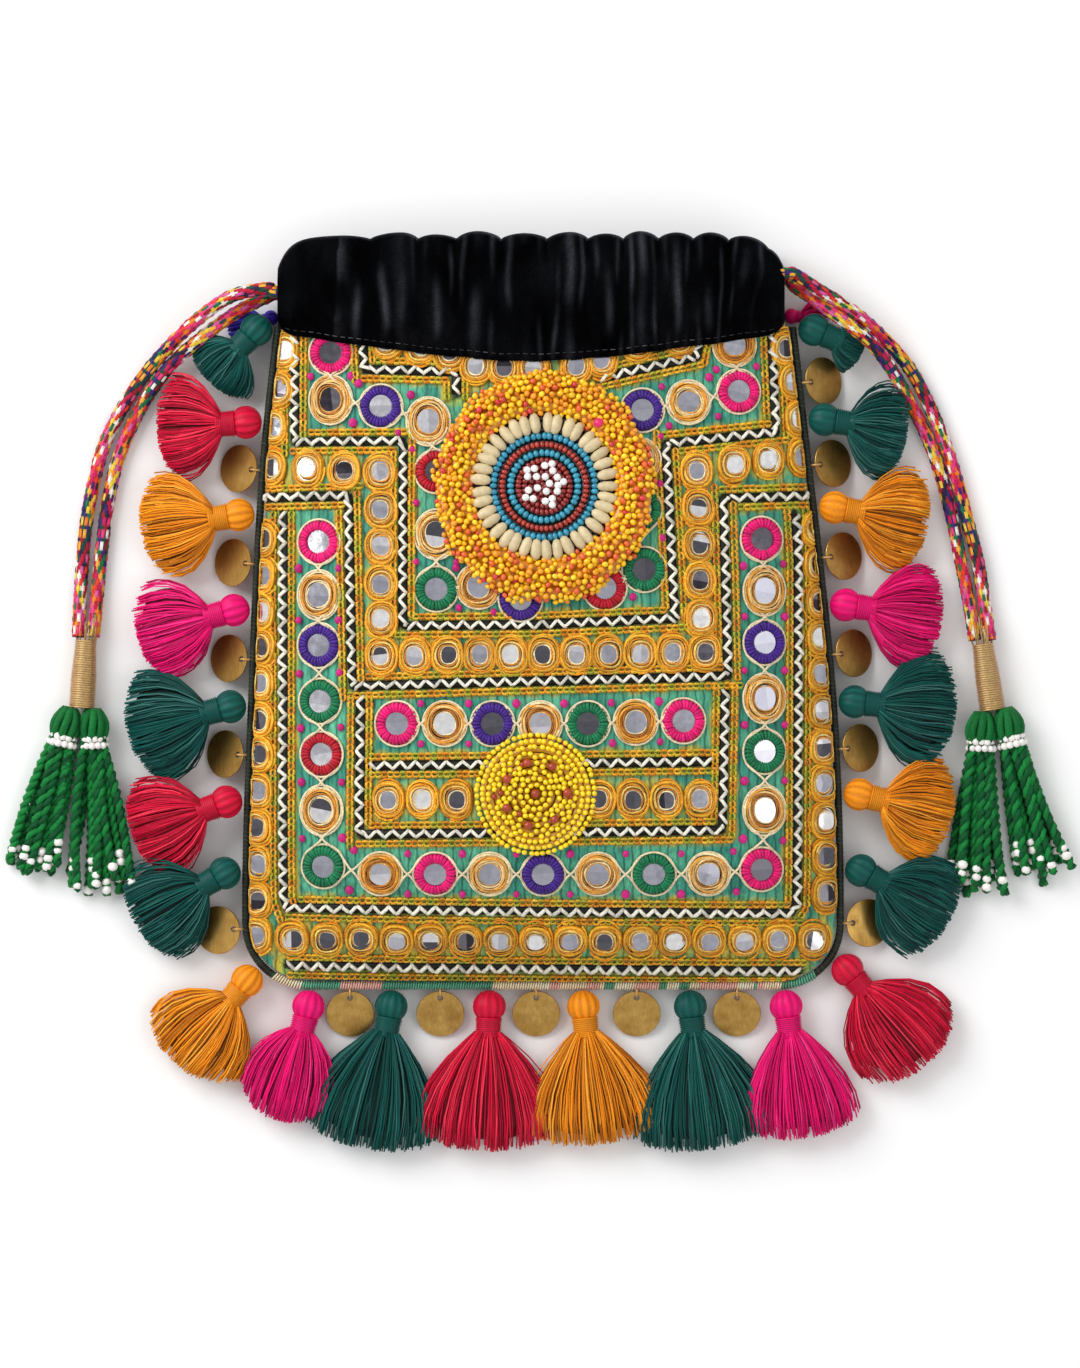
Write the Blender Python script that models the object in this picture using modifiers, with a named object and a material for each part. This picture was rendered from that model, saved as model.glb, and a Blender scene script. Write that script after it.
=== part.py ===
"""Potli bag: an embroidered drawstring pouch that lies on its back, mouth towards +Y.

Metres, +Z up. The origin is on the flat back face, in the middle of the bag.
The pouch is a puffed front panel and a back panel, seamed at a corded edge, with a
gathered velvet casing at the mouth, two drawstrings, thread tassels and brass discs.
"""

import math

import bmesh
import bpy
from mathutils import Matrix, Vector

# Pouch
SEAM_GAP = 0.0003
PANEL_WIDTH = 0.2104
PANEL_TOP_Y = 0.1125
PANEL_LENGTH = 0.2350
PANEL_TOP_NARROWING = 0.0145
PANEL_TOP_SHIFT = -0.0028
CORNER_RADIUS = 0.0200
FRONT_THICKNESS = 0.0024
BACK_THICKNESS = 0.0015
RIM_LEAN = 0.70
SEAM_HEIGHT_SIDE = 0.0125
SEAM_HEIGHT_BOTTOM = 0.0068
SEAM_RISE_LENGTH = 0.0588
PUFF_HEIGHT = 0.0270
PUFF_HEIGHT_AT_MOUTH = 0.0125
PUFF_FOOT_LENGTH = 0.0720
PUFF_MOUTH_LENGTH = 0.0893
PIPING_DIAMETER = 0.0032

# Mirrors held in the embroidery
SMALL_MIRROR_RADIUS = 0.0050
LARGE_MIRROR_RADIUS = 0.0070
MIRROR_PROUD = 0.0009
MIRROR_SUNK = 0.0012
MIRROR_EDGE_INSET = 0.0075

# Rows of mirrors, measured down from the panels' top edge or up from the foot
STEP_ROW_DOWN = 0.0525
BAND_ROW_DOWN = 0.1175
BAR_ROW_DOWN = 0.1695
FOOT_ROW_UP = 0.0160
ROWS_SHIFT = -0.0009
STEP_HALF_WIDTH = 0.0575
BAR_HALF_WIDTH = 0.0555
BAR_GAP_HALF_WIDTH = 0.0275
UPPER_SIDE_ROWS = (0.0225, 0.0370)
LOWER_SIDE_ROWS = (0.0745, 0.0295)
LARGE_COLUMN_HALF_WIDTH = 0.0755
LARGE_COLUMN_ROWS = (0.0770, 0.0410)
LARGE_FOOT_ROW = (0.0590, 0.0390)
LARGE_BOX_ROW = (0.0510, 0.1425)
# The upper band's large mirrors: across from the middle, and down from the top edge.
LARGE_UPPER = [
    (-0.0760, 0.0265), (-0.0580, 0.0290), (-0.0405, 0.0345),
    (-0.0380, 0.0945), (-0.0220, 0.0955), (0.0360, 0.0875),
    (0.0360, 0.0295), (0.0525, 0.0280), (0.0690, 0.0235),
]

# Velvet casing
CASING_WIDTH = 0.1820
CASING_SHIFT = -0.0043
CASING_TOP_ABOVE_PANEL = 0.0325
CASING_THICKNESS = 0.0084
CASING_FRONT_Z = 0.0262
CASING_BACK_Z = 0.0046
CASING_END_DROP = 0.0068
CASING_END_RISE = 0.0030
CASING_SHOULDER_DROP = 0.0050
CASING_CREST = 0.0045
CASING_RABBET = 0.0010
CASING_RABBET_LEDGE = 0.0004
CHANNEL_DEPTH = 0.0060
CHANNEL_WIDTH = 0.0150
CHANNEL_ABOVE_PANEL = 0.0086
GATHER_COUNT = 13
GATHER_DEPTH = 0.0026
GATHER_RIDGE = 0.0018
HEM_DIP = 0.0100
HEM_START = 0.0028
HEM_THICKNESS = 0.0022
HEM_CLEARANCE = 0.0011
OVERHANG = 0.0240
TURN_INSET = 0.0190

# Drawstrings and their ends
CORD_DIAMETER = 0.0048
BINDING_DIAMETER = 0.0100
BINDING_END_DIAMETER = 0.0088
END_TASSEL_HEAD = 0.0090
END_TASSEL_THICKNESS = 0.0130
END_TASSEL_SPREAD = 0.0041

# Edge tassels
TASSEL_HEAD_RADIUS = 0.0058
TASSEL_NECK_RADIUS = 0.0048
TASSEL_THICKNESS = 0.0112
TASSEL_SIDES = 7
BALL_SHARE = 1.02
SKIRT_FULL_AT = 0.58
CORD_SKIRT_FULL_AT = 0.85
SKIRT_FOOT_SHARE = 0.90

# Brass discs and their rings
DISC_DIAMETER = 0.0173
DISC_THICKNESS = 0.0006
DISC_HOLE_DIAMETER = 0.0026
DISC_HOLE_INSET = 0.0024
RING_RADIUS = 0.0018
RING_WIRE = 0.0008
RING_CENTRE_OUT = 0.0012
DISC_FLOOR_CLEARANCE = 0.0006

# Beadwork
ROSETTE_PLACE = (0.0004, 0.0542)
ROSETTE_LIFT = MIRROR_PROUD + 0.0004
WREATH_HALF_WIDTH = 0.0385
WREATH_HALF_LENGTH = 0.0410
WREATH_INNER_RADIUS = 0.0262
WREATH_HEIGHT = 0.0062
BONE_OUTER_RADIUS = 0.0258
BONE_INNER_RADIUS = 0.0190
BONE_HEIGHT = 0.0036
CENTRE_HEIGHT = 0.0030
BUTTON_PLACE = (-0.0027, -0.0549)
BUTTON_RADIUS = 0.0220
BUTTON_HEIGHT = 0.0052

PANEL_BOTTOM_Y = PANEL_TOP_Y - PANEL_LENGTH
PIPING_RADIUS = PIPING_DIAMETER / 2
CORD_RADIUS = CORD_DIAMETER / 2
FLOOR_CLEARANCE = 0.0002

COLOURS = {
    "embroidery": ((0.40, 0.52, 0.16), 0.75, 0.0),
    "lining_cloth": ((0.03, 0.03, 0.035), 0.9, 0.0),
    "velvet": ((0.006, 0.006, 0.008), 0.95, 0.0),
    "drawstring": ((0.62, 0.12, 0.28), 0.8, 0.0),
    "gold_thread": ((0.62, 0.45, 0.24), 0.4, 0.4),
    "green_cord": ((0.01, 0.24, 0.06), 0.8, 0.0),
    "brass": ((0.45, 0.30, 0.10), 0.35, 1.0),
    "yellow_beads": ((0.90, 0.50, 0.03), 0.25, 0.0),
    "bone_beads": ((0.62, 0.50, 0.30), 0.45, 0.0),
    "blue_beads": ((0.03, 0.25, 0.40), 0.25, 0.0),
    "crimson": ((0.55, 0.01, 0.06), 0.8, 0.0),
    "orange": ((0.85, 0.28, 0.02), 0.8, 0.0),
    "hot_pink": ((0.80, 0.01, 0.20), 0.8, 0.0),
    "teal": ((0.005, 0.09, 0.08), 0.8, 0.0),
    "violet": ((0.05, 0.03, 0.45), 0.8, 0.0),
}

# Each edge tassel: name, place along the seam from the left mouth corner (0) to the
# right one (1), direction in degrees from +X, length, half width of the skirt, colour.
EDGE_TASSELS = [
    ("left_02", 0.0030, 224, 0.0310, 0.0100, "teal"),
    ("left_03", 0.0530, 184, 0.0365, 0.0150, "crimson"),
    ("left_04", 0.1030, 187, 0.0420, 0.0160, "orange"),
    ("left_05", 0.1545, 190, 0.0420, 0.0158, "hot_pink"),
    ("left_06", 0.2066, 193, 0.0435, 0.0158, "teal"),
    ("left_07", 0.2580, 196, 0.0395, 0.0140, "crimson"),
    ("left_08", 0.2965, 209, 0.0400, 0.0124, "teal"),
    ("left_09", 0.3470, 231, 0.0435, 0.0142, "orange"),
    ("left_10", 0.3725, 257, 0.0470, 0.0105, "hot_pink"),
    ("bottom_11", 0.4175, 261, 0.0565, 0.0172, "teal"),
    ("bottom_12", 0.4707, 268, 0.0570, 0.0170, "crimson"),
    ("bottom_13", 0.5220, 275, 0.0545, 0.0172, "orange"),
    ("bottom_14", 0.5800, 277, 0.0565, 0.0178, "teal"),
    ("bottom_15", 0.6310, 278, 0.0525, 0.0140, "hot_pink"),
    ("right_16", 0.6580, 309, 0.0480, 0.0140, "crimson"),
    ("right_17", 0.7050, 333, 0.0385, 0.0112, "teal"),
    ("right_18", 0.7460, 345, 0.0380, 0.0136, "orange"),
    ("right_19", 0.7960, 351, 0.0420, 0.0158, "teal"),
    ("right_20", 0.8484, 352, 0.0410, 0.0158, "hot_pink"),
    ("right_21", 0.9010, 350, 0.0400, 0.0155, "orange"),
    ("right_22", 0.9485, 350, 0.0330, 0.0125, "teal"),
    ("right_23", 0.9970, 336, 0.0240, 0.0062, "teal"),
]

# The two small tassels at the casing's ends: name, end, direction, length, half width, colour.
END_TASSELS = [
    ("left_01", -1, 196, 0.0190, 0.0065, "violet"),
    ("right_24", 1, 357, 0.0150, 0.0060, "hot_pink"),
]
SHOULDER_TASSEL_HEAD = 0.0025
SHOULDER_TASSEL_UP = 0.0046
SHOULDER_TASSEL_Z = SHOULDER_TASSEL_HEAD + 0.0004

# Places of the brass discs along the seam.
DISC_PLACES = [
    0.0780, 0.1288, 0.1806, 0.2323, 0.3262,
    0.3950, 0.4441, 0.4963, 0.5510, 0.6055,
    0.6765, 0.7710, 0.8222, 0.8747, 0.9248, 0.9694,
]

# Drawstring routes from the casing's mouth to the binding, chosen by eye: the strand from
# the front channel, then the one from the back channel.
LEFT_FRONT_STRAND = [
    (-0.0990, 0.1262, 0.0186), (-0.1127, 0.1232, 0.0168), (-0.1267, 0.1134, 0.0124),
    (-0.1368, 0.1037, 0.0066), (-0.1451, 0.0940, 0.0034), (-0.1526, 0.0824, 0.0027),
    (-0.1584, 0.0706, 0.0026), (-0.1624, 0.0562, 0.0026), (-0.1652, 0.0403, 0.0026),
    (-0.1662, 0.0288, 0.0026), (-0.1672, 0.0144, 0.0030), (-0.1676, 0.0012, 0.0051),
]
LEFT_BACK_STRAND = [
    (-0.0990, 0.1238, 0.0086), (-0.1060, 0.1204, 0.0112), (-0.1130, 0.1162, 0.0122),
    (-0.1231, 0.1088, 0.0106),
    (-0.1336, 0.0999, 0.0066), (-0.1420, 0.0892, 0.0034), (-0.1484, 0.0777, 0.0027),
    (-0.1536, 0.0648, 0.0026), (-0.1570, 0.0504, 0.0026), (-0.1592, 0.0338, 0.0026),
    (-0.1608, 0.0180, 0.0030), (-0.1622, 0.0012, 0.0051),
]
RIGHT_FRONT_STRAND = [
    (0.0905, 0.1312, 0.0186), (0.0990, 0.1258, 0.0172), (0.1116, 0.1182, 0.0130),
    (0.1224, 0.1092, 0.0070), (0.1321, 0.0984, 0.0034), (0.1390, 0.0858, 0.0027),
    (0.1447, 0.0722, 0.0026), (0.1494, 0.0578, 0.0026), (0.1534, 0.0426, 0.0026),
    (0.1570, 0.0288, 0.0026), (0.1592, 0.0144, 0.0030), (0.1612, 0.0000, 0.0051),
]
RIGHT_BACK_STRAND = [
    (0.0905, 0.1276, 0.0088), (0.0970, 0.1230, 0.0122), (0.1040, 0.1178, 0.0142),
    (0.1110, 0.1126, 0.0145),
    (0.1184, 0.1066, 0.0126), (0.1262, 0.0968, 0.0062), (0.1330, 0.0850, 0.0032),
    (0.1388, 0.0730, 0.0026), (0.1436, 0.0596, 0.0026), (0.1474, 0.0450, 0.0026),
    (0.1508, 0.0288, 0.0026), (0.1536, 0.0144, 0.0030), (0.1558, 0.0000, 0.0051),
]
CORD_POINTS = 80
LEFT_CHANNEL_UP = 0.0125
RIGHT_CHANNEL_UP = 0.0190

# Bindings: start and end. Cord tassels: name, binding, side of it, foot, half width.
BINDINGS = {
    "left": ((-0.1649, 0.0001, 0.0053), (-0.1664, -0.0246, 0.0053)),
    "right": ((0.1586, -0.0013, 0.0053), (0.1622, -0.0254, 0.0053)),
}
CORD_TASSELS = [
    ("cord_tassel_left_outer", "left", -1, (-0.1850, -0.0850), 0.0102),
    ("cord_tassel_left_inner", "left", 1, (-0.1600, -0.0905), 0.0114),
    ("cord_tassel_right_inner", "right", -1, (0.1578, -0.0900), 0.0098),
    ("cord_tassel_right_outer", "right", 1, (0.1836, -0.0860), 0.0120),
]


def smooth(t):
    """0 to 1 with level ends."""
    t = min(1.0, max(0.0, t))
    return t * t * (3 - 2 * t)


def collection(name):
    made = bpy.data.collections.new(name)
    bpy.context.scene.collection.children.link(made)
    return made


def material(slot):
    found = bpy.data.materials.get(slot)
    if found:
        return found
    colour, roughness, metallic = COLOURS[slot]
    found = bpy.data.materials.new(slot)
    found.use_nodes = True
    shader = found.node_tree.nodes["Principled BSDF"]
    shader.inputs["Base Color"].default_value = (*colour, 1)
    shader.inputs["Roughness"].default_value = roughness
    shader.inputs["Metallic"].default_value = metallic
    return found


def add_object(name, mesh, where, slot=None):
    made = bpy.data.objects.new(name, mesh)
    where.objects.link(made)
    if slot:
        mesh.materials.append(material(slot))
    return made


def mesh_of(bm, name, round_piece=True):
    """The edited mesh as new mesh data, with its faces turned outwards."""
    bmesh.ops.recalc_face_normals(bm, faces=bm.faces)
    mesh = bpy.data.meshes.new(name)
    bm.to_mesh(mesh)
    bm.free()
    if round_piece:
        mesh.shade_smooth()
        mesh.set_sharp_from_angle(angle=math.radians(40))
    return mesh


def loft(rings):
    """A closed skin through rings of equal point counts, with flat ends."""
    bm = bmesh.new()
    rows = [[bm.verts.new(p) for p in ring] for ring in rings]
    count = len(rows[0])
    for low, high in zip(rows, rows[1:]):
        for k in range(count):
            bm.faces.new((low[k], low[(k + 1) % count], high[(k + 1) % count], high[k]))
    bm.faces.new(list(reversed(rows[0])))
    bm.faces.new(rows[-1])
    return bm


def smooth_route(points, count):
    """A centripetal-like smooth curve through the points, at evenly spaced places."""
    route = [Vector(p) for p in points]
    ends = [2 * route[0] - route[1], *route, 2 * route[-1] - route[-2]]
    fine = []
    for a, b, c, d in zip(ends, ends[1:], ends[2:], ends[3:]):
        for k in range(12):
            t = k / 12
            fine.append(
                0.5
                * (
                    2 * b
                    + (c - a) * t
                    + (2 * a - 5 * b + 4 * c - d) * t**2
                    + (3 * b - 3 * c + d - a) * t**3
                )
            )
    fine.append(route[-1])
    travel = [0.0]
    for a, b in zip(fine, fine[1:]):
        travel.append(travel[-1] + (b - a).length)
    even, at = [], 0
    for k in range(count):
        goal = travel[-1] * k / (count - 1)
        while at < len(fine) - 2 and travel[at + 1] < goal:
            at += 1
        share = (goal - travel[at]) / max(travel[at + 1] - travel[at], 1e-9)
        even.append(fine[at].lerp(fine[at + 1], min(1.0, share)))
    return even


def tube(name, points, radius, where, resolution=2):
    """A round tube along the points, with filled ends."""
    data = bpy.data.curves.new(name, "CURVE")
    data.dimensions = "3D"
    data.bevel_depth = radius
    data.bevel_resolution = resolution
    data.use_fill_caps = True
    line = data.splines.new("POLY")
    line.points.add(len(points) - 1)
    for point, place in zip(line.points, points):
        point.co = (*place, 1)
    made = bpy.data.objects.new(name, data)
    where.objects.link(made)
    return made


def as_mesh(curve, where):
    """The curve object as a closed mesh object of the same name."""
    name, place = curve.name, curve.matrix_world.copy()
    graph = bpy.context.evaluated_depsgraph_get()
    mesh = bpy.data.meshes.new_from_object(curve.evaluated_get(graph))
    bpy.data.objects.remove(curve)
    bm = bmesh.new()
    bm.from_mesh(mesh)
    bmesh.ops.remove_doubles(bm, verts=bm.verts, dist=0.00001)
    made = add_object(name, mesh_of(bm, name), where)
    made.matrix_world = place
    return made


def half_width(y):
    """Half the panels' width at y, narrowing to the mouth and round the lower corners."""
    share = max(0.0, (y - PANEL_BOTTOM_Y - CORNER_RADIUS) / (PANEL_LENGTH - CORNER_RADIUS))
    wide = PANEL_WIDTH / 2 - PANEL_TOP_NARROWING * share**1.8
    drop = CORNER_RADIUS - (y - PANEL_BOTTOM_Y)
    if drop > 0:
        wide -= CORNER_RADIUS - math.sqrt(max(0.0, CORNER_RADIUS**2 - drop**2))
    return wide


def middle_x(y):
    """The pouch leans a little to the left towards its mouth."""
    return PANEL_TOP_SHIFT * smooth((y - PANEL_BOTTOM_Y) / PANEL_LENGTH * 1.8 - 0.6)


def seam_z(y):
    rise = smooth((y - PANEL_BOTTOM_Y) / SEAM_RISE_LENGTH)
    return SEAM_HEIGHT_BOTTOM + (SEAM_HEIGHT_SIDE - SEAM_HEIGHT_BOTTOM) * rise


def front_z(x, y):
    """Height of the front panel's outer face."""
    u = min(1.0, abs((x - middle_x(y)) / half_width(y)))
    w = min(1.0, max(0.0, 1 - (y - PANEL_BOTTOM_Y) / PUFF_FOOT_LENGTH))
    near_mouth = smooth((y - (PANEL_TOP_Y - PUFF_MOUTH_LENGTH)) / PUFF_MOUTH_LENGTH)
    puff = PUFF_HEIGHT + (PUFF_HEIGHT_AT_MOUTH - PUFF_HEIGHT) * near_mouth
    return seam_z(y) + puff * ((1 - u**2.8) * (1 - w**2.6)) ** 0.75


def front_normal(x, y):
    step = 0.0008
    slope_x = (front_z(x + step, y) - front_z(x - step, y)) / (2 * step)
    slope_y = (front_z(x, y + step) - front_z(x, y - step)) / (2 * step)
    return Vector((-slope_x, -slope_y, 1)).normalized()


def back_z(x, y):
    """Height of the back panel's outer face: flat, then rising to the seam."""
    u = abs((x - middle_x(y)) / half_width(y))
    w = 1 - (y - PANEL_BOTTOM_Y) / PUFF_FOOT_LENGTH
    edge = seam_z(y) - BACK_THICKNESS - SEAM_GAP - RIM_LEAN * FRONT_THICKNESS
    return edge * max(smooth((u - 0.80) / 0.20), smooth((w - 0.70) / 0.30))


def panel_grid(name, height, across, rows):
    """An open sheet over the panels' outline, at height(x, y)."""
    bm = bmesh.new()
    columns = len(across) - 1
    bmesh.ops.create_grid(bm, x_segments=columns, y_segments=len(rows) - 1, size=1)
    for v in bm.verts:
        u = across[round((v.co.x + 1) / 2 * columns)]
        y = rows[round((v.co.y + 1) / 2 * (len(rows) - 1))]
        x = middle_x(y) + u * half_width(y)
        v.co = (x, y, height(x, y))
    sheet = bpy.data.meshes.new(name)
    bm.to_mesh(sheet)
    bm.free()
    sheet.shade_smooth()
    return sheet


def solidify(obj, thickness):
    """Thickens a sheet inwards from its outer face."""
    shell = obj.modifiers.new("thickness", "SOLIDIFY")
    shell.thickness = thickness
    shell.offset = -1
    return shell


def boolean(obj, operation, other):
    cut = obj.modifiers.new(other.name, "BOOLEAN")
    cut.operation = operation
    cut.object = other
    other.hide_render = True
    other.display_type = "WIRE"


def spaced(start, end, steps):
    """Places from start to end, both included."""
    a, b = Vector(start), Vector(end)
    return [tuple(a.lerp(b, k / steps)) for k in range(steps + 1)]


def side_places(side, start_y, end_y, steps):
    """Places that keep one distance from the left (-1) or right (1) edge."""
    found = []
    for k in range(steps + 1):
        y = start_y + (end_y - start_y) * k / steps
        found.append((middle_x(y) + side * (half_width(y) - MIRROR_EDGE_INSET), y))
    return found


def small_mirror_places():
    """The rows of small mirrors, as the borders run: sides, foot, stepped band, bar."""
    top, foot = PANEL_TOP_Y, PANEL_BOTTOM_Y
    step_y, band_y = top - STEP_ROW_DOWN, top - BAND_ROW_DOWN
    first, last = UPPER_SIDE_ROWS
    high, low = LOWER_SIDE_ROWS
    places = []
    for side in (-1, 1):
        places += side_places(side, top - first, top - last, 1)
        places += side_places(side, top - high, foot + low, 10)
    wide = PANEL_WIDTH / 2 - MIRROR_EDGE_INSET - SMALL_MIRROR_RADIUS - 0.0040
    places += spaced((-wide, foot + FOOT_ROW_UP), (wide, foot + FOOT_ROW_UP), 14)
    left, right = (side_places(side, step_y, step_y, 1)[0] for side in (-1, 1))
    corners = [
        left,
        (-STEP_HALF_WIDTH, step_y),
        (-STEP_HALF_WIDTH, band_y),
        (STEP_HALF_WIDTH, band_y),
        (STEP_HALF_WIDTH, step_y),
    ]
    for start, end, steps in zip(corners, [*corners[1:], right], (3, 5, 9, 5, 2)):
        places += spaced(start, end, steps)[:-1]
    places.append(right)
    bar_y = top - BAR_ROW_DOWN
    for side in (-1, 1):
        places += spaced((side * BAR_HALF_WIDTH, bar_y), (side * BAR_GAP_HALF_WIDTH, bar_y), 2)
    return [(x + ROWS_SHIFT, y) for x, y in places]


def large_mirror_places():
    """The large mirrors of the upper band, the lower band round three sides and the box."""
    top, foot = PANEL_TOP_Y, PANEL_BOTTOM_Y
    places = [(x, top - down) for x, down in LARGE_UPPER]
    down, up = LARGE_COLUMN_ROWS
    for side in (-1, 1):
        x = side * LARGE_COLUMN_HALF_WIDTH
        places += spaced((x, top - down), (x, foot + up), 6)
    wide, up = LARGE_FOOT_ROW
    places += spaced((-wide, foot + up), (wide, foot + up), 6)
    wide, down = LARGE_BOX_ROW
    places += spaced((-wide, top - down), (wide, top - down), 6)
    return [(x + ROWS_SHIFT, y) for x, y in places]


def add_mirrors(panel, cutters):
    """The mirror discs stand a little proud of the cloth and are sewn into it."""
    bm = bmesh.new()
    kinds = ((small_mirror_places(), SMALL_MIRROR_RADIUS, 6),
             (large_mirror_places(), LARGE_MIRROR_RADIUS, 8))
    for places, radius, sides in kinds:
        for x, y in places:
            normal = front_normal(x, y)
            depth = MIRROR_PROUD + MIRROR_SUNK
            centre = Vector((x, y, front_z(x, y))) + normal * (MIRROR_PROUD - depth / 2)
            turn = normal.to_track_quat("Z", "Y").to_matrix().to_4x4()
            bmesh.ops.create_cone(
                bm,
                cap_ends=True,
                segments=sides,
                radius1=radius,
                radius2=radius,
                depth=depth,
                matrix=Matrix.Translation(centre) @ turn,
            )
    discs = add_object("mirror_discs", mesh_of(bm, "mirror_discs", False), cutters)
    boolean(panel, "UNION", discs)


def seam_lengths():
    """Lengths of a side, a lower corner and the foot."""
    foot = PANEL_WIDTH - 2 * CORNER_RADIUS
    return PANEL_LENGTH - CORNER_RADIUS, CORNER_RADIUS * math.pi / 2, foot


def seam_stretch(place):
    """(place, outward direction) at a share of the way round the panels' edge."""
    side, bend, foot = seam_lengths()
    run = place * (2 * side + 2 * bend + foot)
    mirror = 1
    if run > side + bend + foot / 2:
        run = 2 * side + 2 * bend + foot - run
        mirror = -1
    if run <= side:
        y = PANEL_TOP_Y - run
        x = half_width(y)
        lean = (half_width(y - 0.0002) - half_width(y + 0.0002)) / 0.0004
        out = Vector((-1, lean, 0)).normalized()
    elif run <= side + bend:
        turn = (run - side) / CORNER_RADIUS
        y = PANEL_BOTTOM_Y + CORNER_RADIUS * (1 - math.sin(turn))
        x = PANEL_WIDTH / 2 - CORNER_RADIUS * (1 - math.cos(turn))
        out = Vector((-math.cos(turn), -math.sin(turn), 0))
    else:
        y = PANEL_BOTTOM_Y
        x = foot / 2 - (run - side - bend)
        out = Vector((0, -1, 0))
    return Vector((-mirror * x + middle_x(y), y, 0)), Vector((mirror * out.x, out.y, 0))


def piping_point(place):
    """Centre of the corded edge, and the outward direction there."""
    at, out = seam_stretch(place)
    reach = PIPING_RADIUS + SEAM_GAP
    height = seam_z(at.y) - 0.3 * PIPING_DIAMETER
    return at + out * reach + Vector((0, 0, height)), out


def make_panels(parts, cutters):
    across = [math.sin(math.pi / 2 * k / 7) ** 0.85 for k in range(8)]
    across = [-u for u in reversed(across[1:])] + across
    rows = [0, 0.02, 0.06, 0.12, 0.20, 0.30, 0.41, 0.52, 0.63, 0.74, 0.83, 0.92, 1]
    rows = [PANEL_BOTTOM_Y + PANEL_LENGTH * share for share in rows]
    front = add_object(
        "front_panel", panel_grid("front_panel", front_z, across, rows), parts, "embroidery"
    )
    solidify(front, FRONT_THICKNESS)
    add_mirrors(front, cutters)
    across = [0, 0.4, 0.80, 0.87, 0.94, 1.0]
    across = [-u for u in reversed(across[1:])] + across
    rows = [0, 0.015, 0.035, 0.06, 0.09, 0.3, 0.5, 0.75, 1]
    rows = [PANEL_BOTTOM_Y + PANEL_LENGTH * share for share in rows]
    sheet = panel_grid("back_panel", back_z, across, rows)
    sheet.flip_normals()
    back = add_object("back_panel", sheet, parts, "lining_cloth")
    solidify(back, BACK_THICKNESS)


def ring_centre(place):
    centre, out = piping_point(place)
    return centre + out * (PIPING_RADIUS + RING_CENTRE_OUT), out


def make_piping(parts, cutters):
    """The corded edge, with a wire ring for each disc sewn into it."""
    side, bend, foot = seam_lengths()
    total = 2 * side + 2 * bend + foot
    line, run = [], 0.0
    for stretch, steps in ((side, 12), (bend, 8), (foot, 10), (bend, 8), (side, 12)):
        line += [piping_point((run + stretch * k / steps) / total)[0] for k in range(steps)]
        run += stretch
    line.append(piping_point(1.0)[0])
    piping = as_mesh(tube("edge_piping", line, PIPING_RADIUS, parts, 1), parts)
    piping.data.materials.append(material("gold_thread"))
    bm = bmesh.new()
    for place in DISC_PLACES:
        centre, out = ring_centre(place)
        bpy.ops.mesh.primitive_torus_add(
            major_segments=8,
            minor_segments=4,
            major_radius=RING_RADIUS,
            minor_radius=RING_WIRE / 2,
        )
        ring = bpy.context.object
        along = Vector((-out.y, out.x, 0))
        ring.data.transform(Matrix.Rotation(math.pi / 8, 4, "Z"))
        ring.data.transform(along.to_track_quat("Z", "Y").to_matrix().to_4x4())
        ring.data.transform(Matrix.Translation(centre))
        bm.from_mesh(ring.data)
        bpy.data.objects.remove(ring)
    rings = add_object("disc_rings", mesh_of(bm, "disc_rings"), cutters)
    boolean(piping, "UNION", rings)


def disc_drop(centre):
    """How far the disc hangs below level, so that its rim stays just above the floor."""
    reach = RING_RADIUS - DISC_HOLE_INSET + DISC_DIAMETER
    low = DISC_FLOOR_CLEARANCE + DISC_THICKNESS / 2
    return math.asin(min(1.0, (centre.z - low) / reach))


def make_discs(parts, cutters):
    radius = DISC_DIAMETER / 2
    bm = bmesh.new()
    hole = Matrix.Translation((-(radius - DISC_HOLE_INSET), 0, 0))
    hole_radius = DISC_HOLE_DIAMETER / 2
    bmesh.ops.create_cone(
        bm,
        cap_ends=True,
        segments=8,
        radius1=hole_radius,
        radius2=hole_radius,
        depth=4 * DISC_THICKNESS,
        matrix=hole,
    )
    punch = add_object("disc_hole", mesh_of(bm, "disc_hole", False), cutters)
    bm = bmesh.new()
    bmesh.ops.create_cone(
        bm,
        cap_ends=True,
        segments=16,
        radius1=radius,
        radius2=radius,
        depth=DISC_THICKNESS,
        matrix=Matrix.Rotation(math.pi / 16, 4, "Z"),
    )
    blank = add_object("disc_blank", mesh_of(bm, "disc_blank"), cutters)
    boolean(blank, "DIFFERENCE", punch)
    graph = bpy.context.evaluated_depsgraph_get()
    pierced = bpy.data.meshes.new_from_object(blank.evaluated_get(graph))
    blank.hide_render = True
    blank.display_type = "WIRE"
    pierced.materials.append(material("brass"))
    for k, place in enumerate(DISC_PLACES):
        centre, out = ring_centre(place)
        angle = disc_drop(centre)
        down = out * math.cos(angle) - Vector((0, 0, math.sin(angle)))
        along = Vector((-out.y, out.x, 0))
        disc = bpy.data.objects.new(f"brass_disc_{k + 1:02d}", pierced)
        parts.objects.link(disc)
        pivot = bpy.data.objects.new(f"disc_pivot_{k + 1:02d}", None)
        parts.objects.link(pivot)
        face = down.cross(along)
        turn = Matrix((down, along, face)).transposed().to_4x4()
        pivot.matrix_world = Matrix.Translation(centre) @ turn
        disc.parent = pivot
        disc.location = (RING_RADIUS + radius - DISC_HOLE_INSET, 0, 0)


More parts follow.
